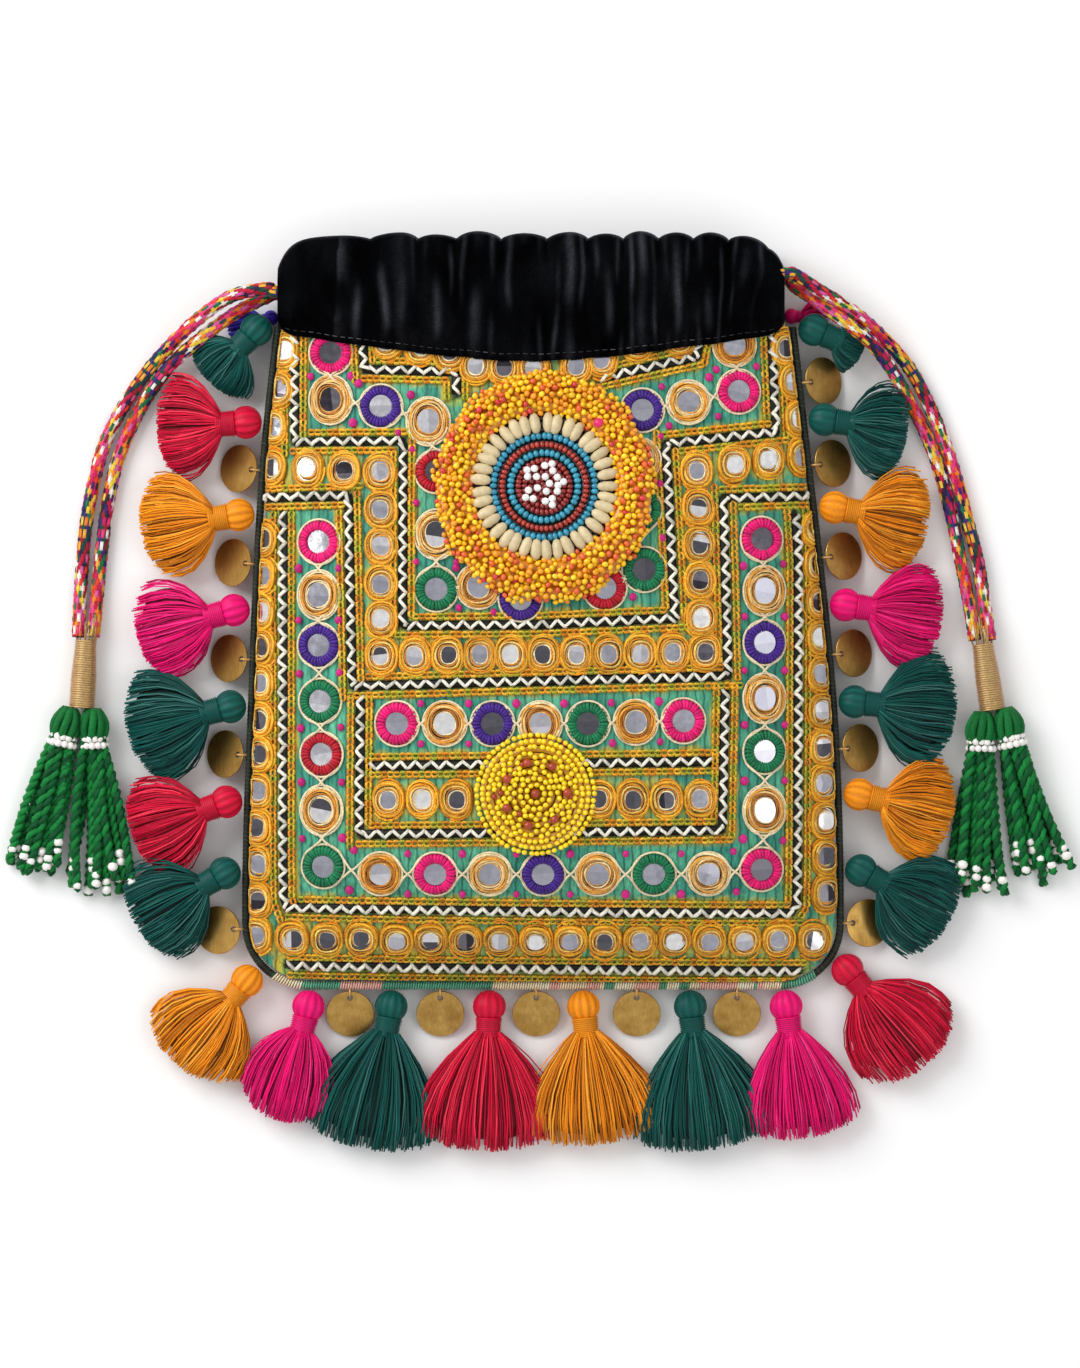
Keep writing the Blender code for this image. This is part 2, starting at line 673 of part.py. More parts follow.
def tassel_mesh(name, length, half_wide, thickness, head, neck, full_at=SKIRT_FULL_AT):
    """Ball head, wrapped neck and a skirt that fans out and lies flat."""
    foot_start = 2.6 * head
    profile = [
        (0.0, 0.0),
        (0.22 * head, 0.66 * head),
        (BALL_SHARE * head, head),
        (1.95 * head, neck),
        (foot_start, neck * 1.12),
        (foot_start + full_at * (length - foot_start), half_wide),
        (length, SKIRT_FOOT_SHARE * half_wide),
        (length, 0.0),
    ]
    bm = bmesh.new()
    line = [bm.verts.new((r, 0, -t)) for t, r in profile]
    edges = [bm.edges.new(pair) for pair in zip(line, line[1:])]
    bmesh.ops.spin(
        bm,
        geom=line + edges,
        cent=(0, 0, 0),
        axis=(0, 0, 1),
        angle=2 * math.pi,
        steps=TASSEL_SIDES,
        use_merge=True,
    )
    bmesh.ops.remove_doubles(bm, verts=bm.verts, dist=0.00002)
    for v in bm.verts:
        wide = max(math.hypot(v.co.x, v.co.y), 1e-6)
        v.co.y *= min(1.0, thickness / 2 / max(wide, head))
    return mesh_of(bm, name)


def lay_tassel(name, mesh, start, end, parts):
    """Sets a tassel from start to end, its flat side level."""
    made = bpy.data.objects.new(name, mesh)
    parts.objects.link(made)
    back = (Vector(start) - Vector(end)).normalized()
    wide = Vector((0, 0, 1)).cross(back).normalized()
    thick = back.cross(wide)
    made.matrix_world = Matrix.Translation(start) @ Matrix((wide, thick, back)).transposed().to_4x4()
    return made


def make_edge_tassels(parts):
    rest_z = TASSEL_THICKNESS / 2 + FLOOR_CLEARANCE + 0.0003
    for name, place, degrees, length, half_wide, slot in EDGE_TASSELS:
        centre, out = piping_point(place)
        ball = centre + out * (PIPING_RADIUS + SEAM_GAP + TASSEL_HEAD_RADIUS)
        way = Vector((math.cos(math.radians(degrees)), math.sin(math.radians(degrees)), 0))
        start = ball - way * BALL_SHARE * TASSEL_HEAD_RADIUS
        start.z = max(start.z, TASSEL_HEAD_RADIUS + FLOOR_CLEARANCE)
        end = start + way * length
        end.z = rest_z
        mesh = tassel_mesh(
            f"tassel_{name}",
            (end - start).length,
            half_wide,
            TASSEL_THICKNESS,
            TASSEL_HEAD_RADIUS,
            TASSEL_NECK_RADIUS,
        )
        mesh.materials.append(material(slot))
        lay_tassel(f"tassel_{name}", mesh, start, end, parts)
    for name, side, degrees, length, half_wide, slot in END_TASSELS:
        x = CASING_SHIFT + side * (CASING_WIDTH / 2 + SEAM_GAP)
        start = Vector((x, PANEL_TOP_Y + SHOULDER_TASSEL_UP, SHOULDER_TASSEL_Z))
        way = Vector((math.cos(math.radians(degrees)), math.sin(math.radians(degrees)), 0))
        mesh = tassel_mesh(
            f"tassel_{name}",
            length,
            half_wide,
            2 * SHOULDER_TASSEL_HEAD,
            SHOULDER_TASSEL_HEAD,
            0.85 * SHOULDER_TASSEL_HEAD,
        )
        mesh.materials.append(material(slot))
        lay_tassel(f"tassel_{name}", mesh, start, start + way * length, parts)


def casing_x(share):
    return CASING_SHIFT + share * CASING_WIDTH / 2


def front_casing_z(share):
    return CASING_FRONT_Z - CASING_END_DROP * abs(share) ** 8


def back_casing_z(share):
    return CASING_BACK_Z + CASING_END_RISE * abs(share) ** 8


def gather(share):
    """Folds run down the casing's middle and fade to its smooth ends: -1 to 1."""
    fade = smooth((0.97 - abs(share + 0.03)) / 0.30)
    wander = 0.9 * math.sin(5.3 * share + 0.7) + 0.5 * math.sin(11.0 * share)
    return fade * math.cos(math.pi * GATHER_COUNT * share * 0.98 + wander)


def casing_top(share, fold):
    """The gathered top edge, with rounded shoulders."""
    shoulder = CASING_SHOULDER_DROP * abs(share) ** 14
    return PANEL_TOP_Y + CASING_TOP_ABOVE_PANEL - shoulder + GATHER_RIDGE * (fold - 0.6)


def over_panel(x, y):
    """Underside of the velvet where it lies over the front panel and its corded edge."""
    edge_top = seam_z(y) + 0.2 * PIPING_DIAMETER
    return max(front_z(x, min(y, PANEL_TOP_Y)), edge_top) + HEM_CLEARANCE


def front_casing_ring(share):
    """Section of the front casing: hem over the panel, channel part, gathered top."""
    x, z = casing_x(share), front_casing_z(share)
    half = CASING_THICKNESS / 2
    fold = gather(share)
    top = casing_top(share, fold)
    puff = GATHER_DEPTH * max(0.0, fold)
    hem = PANEL_TOP_Y - HEM_START - HEM_DIP * (1 - abs(share) ** 1.6) ** 1.2
    join = PANEL_TOP_Y + SEAM_GAP
    mid = (hem + join) / 2
    inside = z - half
    ledge = (join, inside - CASING_RABBET)
    if ledge[1] > over_panel(x, join) - CASING_RABBET_LEDGE:
        ledge = (join + CASING_RABBET_LEDGE / 2, over_panel(x, join) - CASING_RABBET_LEDGE)
    points = [
        (hem, over_panel(x, hem)),
        (mid, over_panel(x, mid)),
        (join, over_panel(x, join)),
        ledge,
        (top - CASING_CREST, inside),
        (top, z),
        (top - CASING_CREST, z + half + 0.5 * puff),
        ((top + join) / 2, z + half + puff),
        (join + CHANNEL_DEPTH / 3, z + half + 0.8 * puff),
        (mid, max(over_panel(x, mid) + HEM_THICKNESS, z + half - CASING_CREST * 0.8) + 0.5 * puff),
        (hem, over_panel(x, hem) + HEM_THICKNESS),
    ]
    return [Vector((x, y, h)) for y, h in points]


def back_casing_ring(share):
    x, z = casing_x(share), back_casing_z(share)
    half = CASING_THICKNESS / 2
    fold = gather(share + 0.07)
    top = casing_top(share, fold)
    join = PANEL_TOP_Y + SEAM_GAP
    points = [
        (join, z - half),
        (join, z + half),
        (top - CASING_CREST, z + half),
        (top, z),
        (top - CASING_CREST, z - half),
    ]
    return [Vector((x, y, h)) for y, h in points]


def channel_cutter(name, middle, cutters):
    """The slot that the drawstrings run through, open at both ends of the casing."""
    low = PANEL_TOP_Y + CHANNEL_ABOVE_PANEL
    rings = []
    steps = 20
    for k in range(steps + 1):
        share = 1.04 * (2 * k / steps - 1)
        x, z = casing_x(share), middle(min(1.0, max(-1.0, share)))
        corners = ((low, -1), (low, 1), (low + CHANNEL_WIDTH, 1), (low + CHANNEL_WIDTH, -1))
        rings.append([Vector((x, y, z + s * CHANNEL_DEPTH / 2)) for y, s in corners])
    bm = loft(rings)
    return add_object(name, mesh_of(bm, name, False), cutters)


def overhang_cutter(name, side, middle, inwards, cutters):
    """Takes a casing's inner wall away near an end, where a string turns back."""
    low = PANEL_TOP_Y + CHANNEL_ABOVE_PANEL
    start = CASING_WIDTH / 2 - OVERHANG
    rings = []
    for k in range(7):
        share = side * (start + OVERHANG * 1.2 * k / 6) / (CASING_WIDTH / 2)
        x, z = casing_x(share), middle(max(-1.0, min(1.0, share)))
        deep = z + inwards * CASING_THICKNESS
        corners = ((low, deep), (low, z), (low + CHANNEL_WIDTH, z), (low + CHANNEL_WIDTH, deep))
        rings.append([Vector((x, y, h)) for y, h in corners])
    return add_object(name, mesh_of(loft(rings), name, False), cutters)


def make_casing(parts, cutters):
    steps = 46
    shares = [2 * k / steps - 1 for k in range(steps + 1)]
    front = add_object(
        "casing_front",
        mesh_of(loft([front_casing_ring(s) for s in shares]), "casing_front"),
        parts,
        "velvet",
    )
    boolean(front, "DIFFERENCE", channel_cutter("front_channel", front_casing_z, cutters))
    steps = 36
    shares = [2 * k / steps - 1 for k in range(steps + 1)]
    back = add_object(
        "casing_back",
        mesh_of(loft([back_casing_ring(s) for s in shares]), "casing_back"),
        parts,
        "velvet",
    )
    boolean(back, "DIFFERENCE", channel_cutter("back_channel", back_casing_z, cutters))
    for label, side in (("left", -1), ("right", 1)):
        for casing, middle, inwards in ((front, front_casing_z, -1), (back, back_casing_z, 1)):
            name = f"{casing.name}_end_{label}"
            boolean(casing, "DIFFERENCE", overhang_cutter(name, side, middle, inwards, cutters))


def drawstring_route(side, front_strand, back_strand, up):
    """Binding, front strand, through the front casing, back through the other, binding."""
    y = PANEL_TOP_Y + up
    turn_at = CASING_WIDTH / 2 - TURN_INSET
    inner = []
    for k in range(9):
        share = side * (1 - 2 * k / 8 * (CASING_WIDTH / 2 + turn_at) / CASING_WIDTH)
        inner.append((casing_x(share), y, front_casing_z(share)))
    last = inner[-1][0]
    share = (last - CASING_SHIFT) / (CASING_WIDTH / 2)
    high, low = front_casing_z(share), back_casing_z(share)
    bend = (high - low) / 2
    for k in range(1, 6):
        angle = math.pi * k / 6
        inner.append(
            (last - side * bend * math.sin(angle), y, low + bend * (1 + math.cos(angle)))
        )
    for k in range(8, -1, -1):
        share = side * (1 - 2 * k / 8 * (CASING_WIDTH / 2 + turn_at) / CASING_WIDTH)
        inner.append((casing_x(share), y, back_casing_z(share)))
    return list(reversed(front_strand)) + inner + back_strand


def make_drawstrings(parts):
    strands = (
        ("left", -1, LEFT_FRONT_STRAND, LEFT_BACK_STRAND, LEFT_CHANNEL_UP),
        ("right", 1, RIGHT_FRONT_STRAND, RIGHT_BACK_STRAND, RIGHT_CHANNEL_UP),
    )
    for label, side, front_strand, back_strand, up in strands:
        route = drawstring_route(side, front_strand, back_strand, up)
        points = smooth_route(route, CORD_POINTS)
        cord = tube(f"drawstring_{label}", points, CORD_RADIUS, parts)
        cord.data.materials.append(material("drawstring"))


def make_bindings(parts):
    for label, (start, end) in BINDINGS.items():
        a, b = Vector(start), Vector(end)
        bm = bmesh.new()
        bmesh.ops.create_cone(
            bm,
            cap_ends=True,
            segments=10,
            radius1=BINDING_END_DIAMETER / 2,
            radius2=BINDING_DIAMETER / 2,
            depth=(b - a).length,
        )
        turn = (a - b).to_track_quat("Z", "Y").to_matrix().to_4x4()
        binding = add_object(
            f"binding_{label}", mesh_of(bm, f"binding_{label}"), parts, "gold_thread"
        )
        binding.matrix_world = Matrix.Translation((a + b) / 2) @ turn


def make_cord_tassels(parts):
    """The green tassels hang side by side from the end of each binding."""
    rest_z = END_TASSEL_THICKNESS / 2 + FLOOR_CLEARANCE
    for name, label, side, foot, half_wide in CORD_TASSELS:
        above, below = (Vector(point) for point in BINDINGS[label])
        way = (below - above).normalized()
        across = Vector((-way.y, way.x, 0))
        start = below + way * SEAM_GAP + across * side * END_TASSEL_SPREAD
        start.z = rest_z
        end = Vector((*foot, rest_z))
        mesh = tassel_mesh(
            name,
            (end - start).length,
            half_wide,
            END_TASSEL_THICKNESS,
            END_TASSEL_HEAD / 2,
            0.94 * END_TASSEL_HEAD / 2,
            CORD_SKIRT_FULL_AT,
        )
        mesh.materials.append(material("green_cord"))
        lay_tassel(name, mesh, start, end, parts)


def drape(mesh, place, stretch=1.0):
    """Moves a flat piece onto the front panel, following its swell."""
    x, y = place
    for v in mesh.vertices:
        v.co.y *= stretch
        v.co.x += x
        v.co.y += y
        v.co.z += front_z(v.co.x, v.co.y) + ROSETTE_LIFT


def turned(name, profile, segments, slot, parts):
    """A solid turned about Z from an outer profile, top to bottom."""
    bm = bmesh.new()
    line = [bm.verts.new((r, 0, z)) for r, z in profile]
    edges = [bm.edges.new((line[k], line[(k + 1) % len(line)])) for k in range(len(line))]
    if profile[0][0] == 0:
        bm.edges.remove(edges.pop())
    bmesh.ops.spin(
        bm,
        geom=line + edges,
        cent=(0, 0, 0),
        axis=(0, 0, 1),
        angle=2 * math.pi,
        steps=segments,
        use_merge=True,
    )
    bmesh.ops.remove_doubles(bm, verts=bm.verts, dist=0.00002)
    return add_object(name, mesh_of(bm, name), parts, slot)


def make_beadwork(parts):
    inner, outer = WREATH_INNER_RADIUS, WREATH_HALF_WIDTH
    mid, tall = (inner + outer) / 2, WREATH_HEIGHT
    wreath = turned(
        "rosette_wreath",
        [(inner, 0), (inner, 0.55 * tall), (mid - 0.0020, tall), (mid + 0.0025, tall),
         (outer, 0.45 * tall), (outer, 0)],
        28, "yellow_beads", parts,
    )
    drape(wreath.data, ROSETTE_PLACE, WREATH_HALF_LENGTH / WREATH_HALF_WIDTH)
    bone = turned(
        "rosette_bone_ring",
        [(BONE_INNER_RADIUS, 0), (BONE_INNER_RADIUS, BONE_HEIGHT * 0.7),
         ((BONE_INNER_RADIUS + BONE_OUTER_RADIUS) / 2, BONE_HEIGHT),
         (BONE_OUTER_RADIUS, BONE_HEIGHT * 0.7), (BONE_OUTER_RADIUS, 0)],
        28, "bone_beads", parts,
    )
    drape(bone.data, ROSETTE_PLACE)
    rim = BONE_INNER_RADIUS - SEAM_GAP
    centre = turned(
        "rosette_centre",
        [(0, CENTRE_HEIGHT), (0.55 * rim, CENTRE_HEIGHT), (rim, 0.6 * CENTRE_HEIGHT),
         (rim, 0), (0, 0)],
        24, "blue_beads", parts,
    )
    drape(centre.data, ROSETTE_PLACE)
    button = turned(
        "beaded_button",
        [(0, BUTTON_HEIGHT), (0.55 * BUTTON_RADIUS, 0.92 * BUTTON_HEIGHT),
         (0.88 * BUTTON_RADIUS, 0.62 * BUTTON_HEIGHT), (BUTTON_RADIUS, 0.25 * BUTTON_HEIGHT),
         (BUTTON_RADIUS, 0), (0, 0)],
        24, "yellow_beads", parts,
    )
    drape(button.data, BUTTON_PLACE)


def main():
    for old in list(bpy.data.objects):
        bpy.data.objects.remove(old)
    parts = collection("potli_bag")
    cutters = collection("cutters")
    make_panels(parts, cutters)
    make_piping(parts, cutters)
    make_discs(parts, cutters)
    make_edge_tassels(parts)
    make_casing(parts, cutters)
    make_drawstrings(parts)
    make_bindings(parts)
    make_cord_tassels(parts)
    make_beadwork(parts)


main()
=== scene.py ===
# Potli bag lying on its back: embroidery, mirrors, beads, velvet, braids and tassels.
import math
import random

import bpy
import numpy as np
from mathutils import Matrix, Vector, noise


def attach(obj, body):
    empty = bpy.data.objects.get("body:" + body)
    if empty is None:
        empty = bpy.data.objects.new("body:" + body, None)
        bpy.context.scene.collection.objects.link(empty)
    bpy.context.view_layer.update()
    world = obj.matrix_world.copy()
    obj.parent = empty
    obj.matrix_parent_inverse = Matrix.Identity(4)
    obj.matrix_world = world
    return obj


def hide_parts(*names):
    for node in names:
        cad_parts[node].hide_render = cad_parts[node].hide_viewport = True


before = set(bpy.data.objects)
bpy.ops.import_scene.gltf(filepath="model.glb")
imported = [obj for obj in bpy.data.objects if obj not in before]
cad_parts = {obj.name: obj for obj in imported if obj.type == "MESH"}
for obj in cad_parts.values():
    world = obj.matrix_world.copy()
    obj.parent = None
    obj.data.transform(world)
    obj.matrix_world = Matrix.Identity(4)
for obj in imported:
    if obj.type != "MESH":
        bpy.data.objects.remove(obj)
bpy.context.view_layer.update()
print("bag loaded:", len(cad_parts), "solids")


# colours are typed as seen on a screen, 0 to 255
def ink(red, green, blue):
    shares = [c / 255 for c in (red, green, blue)]
    return np.array([s / 12.92 if s <= 0.04 else ((s + 0.055) / 1.055) ** 2.4 for s in shares])


def smoothStep(t):
    t = np.clip(t, 0, 1)
    return t * t * (3 - 2 * t)


# one loose thread, bead or stitch is a few points and faces; a bundle joins them in one mesh
class Bundle:
    def __init__(self):
        self.points, self.quads, self.triangles, self.tints = [], [], [], []
        self.count = 0

    def add(self, shell, tint):
        points, quads, triangles = shell
        self.points.append(points)
        self.quads.append(np.asarray(quads, int).reshape(-1, 4) + self.count)
        self.triangles.append(np.asarray(triangles, int).reshape(-1, 3) + self.count)
        self.tints.append(np.broadcast_to(tint, (len(points), 3)))
        self.count += len(points)

    def build(self, name, finish, slot, body="bag", replaced=(), smooth=True):
        points, tints = np.vstack(self.points), np.vstack(self.tints)
        quads, triangles = np.vstack(self.quads), np.vstack(self.triangles)
        mesh = bpy.data.meshes.new(name)
        mesh.vertices.add(len(points))
        mesh.vertices.foreach_set("co", points.ravel())
        mesh.loops.add(quads.size + triangles.size)
        mesh.loops.foreach_set("vertex_index", np.concatenate([quads.ravel(), triangles.ravel()]))
        mesh.polygons.add(len(quads) + len(triangles))
        starts = [np.arange(len(quads)) * 4, len(quads) * 4 + np.arange(len(triangles)) * 3]
        mesh.polygons.foreach_set("loop_start", np.concatenate(starts))
        mesh.update(calc_edges=True)
        colours = mesh.color_attributes.new("threadTint", "FLOAT_COLOR", "POINT")
        four = np.hstack([np.clip(tints, 0, 1), np.ones((len(tints), 1))])
        colours.data.foreach_set("color", four.ravel())
        if smooth:
            mesh.shade_smooth()
        else:
            mesh.shade_flat()
        return dress(name, mesh, finish, body, replaced)


def dress(name, mesh, finish, body="bag", replaced=()):
    piece = bpy.data.objects.new(name, mesh)
    bpy.context.scene.collection.objects.link(piece)
    mesh.materials.append(finish)
    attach(piece, body)
    if replaced:
        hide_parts(*replaced)
    return piece


def circleAngles(count):
    return np.arange(count) * 2 * math.pi / count


# the faces between rows of points that each run once round, and flat ends for the first and last row
def loftFaces(rows, around, wrapped=False):
    row, k = np.arange(rows if wrapped else rows - 1)[:, None], np.arange(around)
    following, beside = (row + 1) % rows, (k + 1) % around
    return np.stack([row * around + k, row * around + beside,
                     following * around + beside, following * around + k], -1).reshape(-1, 4)


def endCaps(rows, around):
    last, inner = (rows - 1) * around, range(1, around - 1)
    return [(0, j + 1, j) for j in inner] + [(last, last + j, last + j + 1) for j in inner]


# a tube along a path; up says which way its top faces, flat squeezes it that way
def tubeShell(path, radius, sides=5, closed=False, up=(0, 0, 1), flat=1.0):
    path = np.asarray(path, float)
    count = len(path)
    if closed:
        way = np.roll(path, -1, 0) - np.roll(path, 1, 0)
    else:
        way = np.gradient(path, axis=0)
    way /= np.maximum(np.linalg.norm(way, axis=1, keepdims=True), 1e-12)
    across = np.cross(np.broadcast_to(up, path.shape), way)
    across /= np.maximum(np.linalg.norm(across, axis=1, keepdims=True), 1e-12)
    over = np.cross(way, across)
    wide = np.broadcast_to(radius, (count,))[:, None, None]
    angles = circleAngles(sides) + math.pi / sides
    cosines, sines = np.cos(angles)[None, :, None], np.sin(angles)[None, :, None]
    ring = cosines * across[:, None] + flat * sines * over[:, None]
    points = (path[:, None] + wide * ring).reshape(-1, 3)
    return points, loftFaces(count, sides, closed), [] if closed else endCaps(count, sides)


# a ball of radius 1, for beads
def ballTemplate(around, rings):
    angles = circleAngles(around)
    points = [(0, 0, 1)]
    for k in range(1, rings):
        tilt = math.pi * k / rings
        wide, high = math.sin(tilt), math.cos(tilt)
        points += [(wide * math.cos(a), wide * math.sin(a), high) for a in angles]
    points.append((0, 0, -1))
    quads, triangles, last = [], [], len(points) - 1
    for j in range(around):
        following = (j + 1) % around
        triangles.append((0, 1 + j, 1 + following))
        low = 1 + (rings - 2) * around
        triangles.append((low + j, last, low + following))
        for k in range(rings - 2):
            row = 1 + k * around
            quads.append((row + j, row + around + j, row + around + following, row + following))
    return np.array(points), quads, triangles


beadBall, smallBall = ballTemplate(8, 6), ballTemplate(6, 4)


# a ball stretched along three directions given as the rows of axes
def ballShell(template, centre, axes):
    return template[0] @ np.asarray(axes) + np.asarray(centre), template[1], template[2]


# a profile of (radius, height) turned round the upright axis
def lathe(profile, sides, wobble=None):
    rings, angles = [], circleAngles(sides)
    for k, (radius, z) in enumerate(profile):
        wide = radius * (1 + (wobble(angles, k) if wobble else 0))
        rings.append(np.stack([wide * np.cos(angles), wide * np.sin(angles), np.full(sides, z)], -1))
    return np.vstack(rings), loftFaces(len(profile), sides), endCaps(len(profile), sides)


def vary(chance, tint, amount):
    return np.asarray(tint) * (1 + chance.uniform(-amount, amount))


# finishes: every thread takes its own tint from the mesh, the nodes add fibres and bump
def startFinish(name, roughness, metallic=0.0, sheen=0.0, coat=0.0, specular=0.5):
    finish = bpy.data.materials.new(name)
    finish.use_nodes = True
    tree = finish.node_tree
    shader = tree.nodes["Principled BSDF"]
    shader.inputs["Roughness"].default_value = roughness
    shader.inputs["Metallic"].default_value = metallic
    shader.inputs["Sheen Weight"].default_value = sheen
    shader.inputs["Sheen Roughness"].default_value = 0.4
    shader.inputs["Coat Weight"].default_value = coat
    shader.inputs["Coat Roughness"].default_value = 0.08
    shader.inputs["Specular IOR Level"].default_value = specular
    return finish, tree, shader


def placeNode(tree, scale, rotation=(0, 0, 0)):
    at = tree.nodes.new("ShaderNodeTexCoord")
    turn = tree.nodes.new("ShaderNodeMapping")
    turn.inputs["Scale"].default_value = scale
    turn.inputs["Rotation"].default_value = rotation
    tree.links.new(at.outputs["Object"], turn.inputs["Vector"])
    return turn.outputs["Vector"]


def noiseNode(tree, vector, scale, detail=3.0, roughness=0.55):
    made = tree.nodes.new("ShaderNodeTexNoise")
    made.inputs["Scale"].default_value = scale
    made.inputs["Detail"].default_value = detail
    made.inputs["Roughness"].default_value = roughness
    tree.links.new(vector, made.inputs["Vector"])
    return made.outputs["Fac"]


def rampNode(tree, source, stops):
    made = tree.nodes.new("ShaderNodeValToRGB")
    ramp = made.color_ramp
    while len(ramp.elements) < len(stops):
        ramp.elements.new(0.5)
    for element, (place, colour) in zip(ramp.elements, stops):
        element.position = place
        element.color = (*colour, 1)
    tree.links.new(source, made.inputs["Fac"])
    return made.outputs["Color"]


def blendNode(tree, kind, first, second, share=1.0):
    made = tree.nodes.new("ShaderNodeMix")
    made.data_type = "RGBA"
    made.blend_type = kind
    made.inputs["Factor"].default_value = share
    for socket, value in ((made.inputs[6], first), (made.inputs[7], second)):
        if isinstance(value, tuple):
            socket.default_value = (*value, 1)
        else:
            tree.links.new(value, socket)
    return made.outputs[2]


def tintNode(tree):
    made = tree.nodes.new("ShaderNodeAttribute")
    made.attribute_name = "threadTint"
    return made.outputs["Color"]


def bumpNode(tree, shader, height, distance, strength=0.6):
    made = tree.nodes.new("ShaderNodeBump")
    made.inputs["Distance"].default_value = distance
    made.inputs["Strength"].default_value = strength
    tree.links.new(height, made.inputs["Height"])
    tree.links.new(made.outputs["Normal"], shader.inputs["Normal"])


def threadFinish(name, roughness=0.6, sheen=0.25, fibre=1500.0, depth=0.00012, low=0.72, high=1.12,
                 metallic=0.0, specular=0.30):
    finish, tree, shader = startFinish(name, roughness, metallic, sheen, specular=specular)
    vector = placeNode(tree, (1, 1, 1))
    fibres = noiseNode(tree, vector, fibre, 4.0, 0.6)
    shade = rampNode(tree, fibres, [(0.32, (low,) * 3), (0.70, (high,) * 3)])
    tree.links.new(blendNode(tree, "MULTIPLY", tintNode(tree), shade), shader.inputs["Base Color"])
    bumpNode(tree, shader, fibres, depth)
    return finish


def beadFinish(name, roughness, coat):
    finish, tree, shader = startFinish(name, roughness, coat=coat)
    vector = placeNode(tree, (1, 1, 1))
    clouds = noiseNode(tree, vector, 500.0, 2.0)
    shade = rampNode(tree, clouds, [(0.35, (0.88,) * 3), (0.65, (1.06,) * 3)])
    tree.links.new(blendNode(tree, "MULTIPLY", tintNode(tree), shade), shader.inputs["Base Color"])
    bumpNode(tree, shader, noiseNode(tree, vector, 900.0, 1.0), 0.00006, 0.3)
    return finish


# the view: straight down on the middle of the photograph
view = {"metresPerPixel": 0.00036, "originPixel": (543.0, 640.0), "middlePixel": (540.0, 684.0),
        "imagePixels": (1080, 1368), "distance": 3.0, "planeHeight": 0.012, "sensor": 36}


def fromPixel(px, py):
    step = view["metresPerPixel"]
    return (px - view["originPixel"][0]) * step, (view["originPixel"][1] - py) * step


def makeCamera():
    lens = bpy.data.cameras.new("camera")
    camera = bpy.data.objects.new("camera", lens)
    bpy.context.scene.collection.objects.link(camera)
    x, y = fromPixel(*view["middlePixel"])
    camera.location = (x, y, view["planeHeight"] + view["distance"])
    tall = view["imagePixels"][1] * view["metresPerPixel"]
    lens.sensor_fit = "VERTICAL"
    lens.sensor_height = view["sensor"]
    lens.lens = view["sensor"] * view["distance"] / tall
    lens.clip_end = 20
    bpy.context.scene.camera = camera


makeCamera()
print("camera set")


# drawstrings: a round braid of many colours along the route of the solids
casingForm = {"width": 0.1820, "shift": -0.0043, "frontZ": 0.0262, "backZ": 0.0046, "endDrop": 0.0068,
              "endRise": 0.0030, "turnInset": 0.0190, "panelTop": 0.1125}
braid = {
    "diameter": 0.0048, "cellsAround": 8, "cellLength": 0.0022, "ringStep": 0.00064, "facesPerCell": 3,
    # shade: low and span of the painted shade that darkens each braid cell towards its edges, where the
    # strands dip
    "bulge": 0.12, "shade": (0.55, 0.55), "capInk": (0.2, 0.02, 0.06), "leftUp": 0.0125, "rightUp": 0.0190,
    "strands": [(200, 20, 90), (235, 200, 60), (20, 70, 60), (225, 60, 40), (240, 235, 225), (60, 35, 110),
                (235, 130, 30), (190, 20, 60), (25, 110, 70), (235, 60, 120), (30, 30, 60), (240, 170, 60),
                (210, 90, 150), (150, 30, 40)],
}
leftFront = [(-0.0990, 0.1262, 0.0186), (-0.1127, 0.1232, 0.0168), (-0.1267, 0.1134, 0.0124),
             (-0.1368, 0.1037, 0.0066), (-0.1451, 0.0940, 0.0034), (-0.1526, 0.0824, 0.0027),
             (-0.1584, 0.0706, 0.0026), (-0.1624, 0.0562, 0.0026), (-0.1652, 0.0403, 0.0026),
             (-0.1662, 0.0288, 0.0026), (-0.1672, 0.0144, 0.0030), (-0.1676, 0.0012, 0.0051)]
leftBack = [(-0.0990, 0.1238, 0.0086), (-0.1060, 0.1204, 0.0112), (-0.1130, 0.1162, 0.0122),
            (-0.1231, 0.1088, 0.0106), (-0.1336, 0.0999, 0.0066), (-0.1420, 0.0892, 0.0034),
            (-0.1484, 0.0777, 0.0027), (-0.1536, 0.0648, 0.0026), (-0.1570, 0.0504, 0.0026),
            (-0.1592, 0.0338, 0.0026), (-0.1608, 0.0180, 0.0030), (-0.1622, 0.0012, 0.0051)]
rightFront = [(0.0905, 0.1312, 0.0186), (0.0990, 0.1258, 0.0172), (0.1116, 0.1182, 0.0130),
              (0.1224, 0.1092, 0.0070), (0.1321, 0.0984, 0.0034), (0.1390, 0.0858, 0.0027),
              (0.1447, 0.0722, 0.0026), (0.1494, 0.0578, 0.0026), (0.1534, 0.0426, 0.0026),
              (0.1570, 0.0288, 0.0026), (0.1592, 0.0144, 0.0030), (0.1612, 0.0000, 0.0051)]
rightBack = [(0.0905, 0.1276, 0.0088), (0.0970, 0.1230, 0.0122), (0.1040, 0.1178, 0.0142),
             (0.1110, 0.1126, 0.0145), (0.1184, 0.1066, 0.0126), (0.1262, 0.0968, 0.0062),
             (0.1330, 0.0850, 0.0032), (0.1388, 0.0730, 0.0026), (0.1436, 0.0596, 0.0026),
             (0.1474, 0.0450, 0.0026), (0.1508, 0.0288, 0.0026), (0.1536, 0.0144, 0.0030),
             (0.1558, 0.0000, 0.0051)]


def casingMiddle(share, which):
    form = casingForm
    if which == "front":
        return form["frontZ"] - form["endDrop"] * abs(share) ** 8
    return form["backZ"] + form["endRise"] * abs(share) ** 8


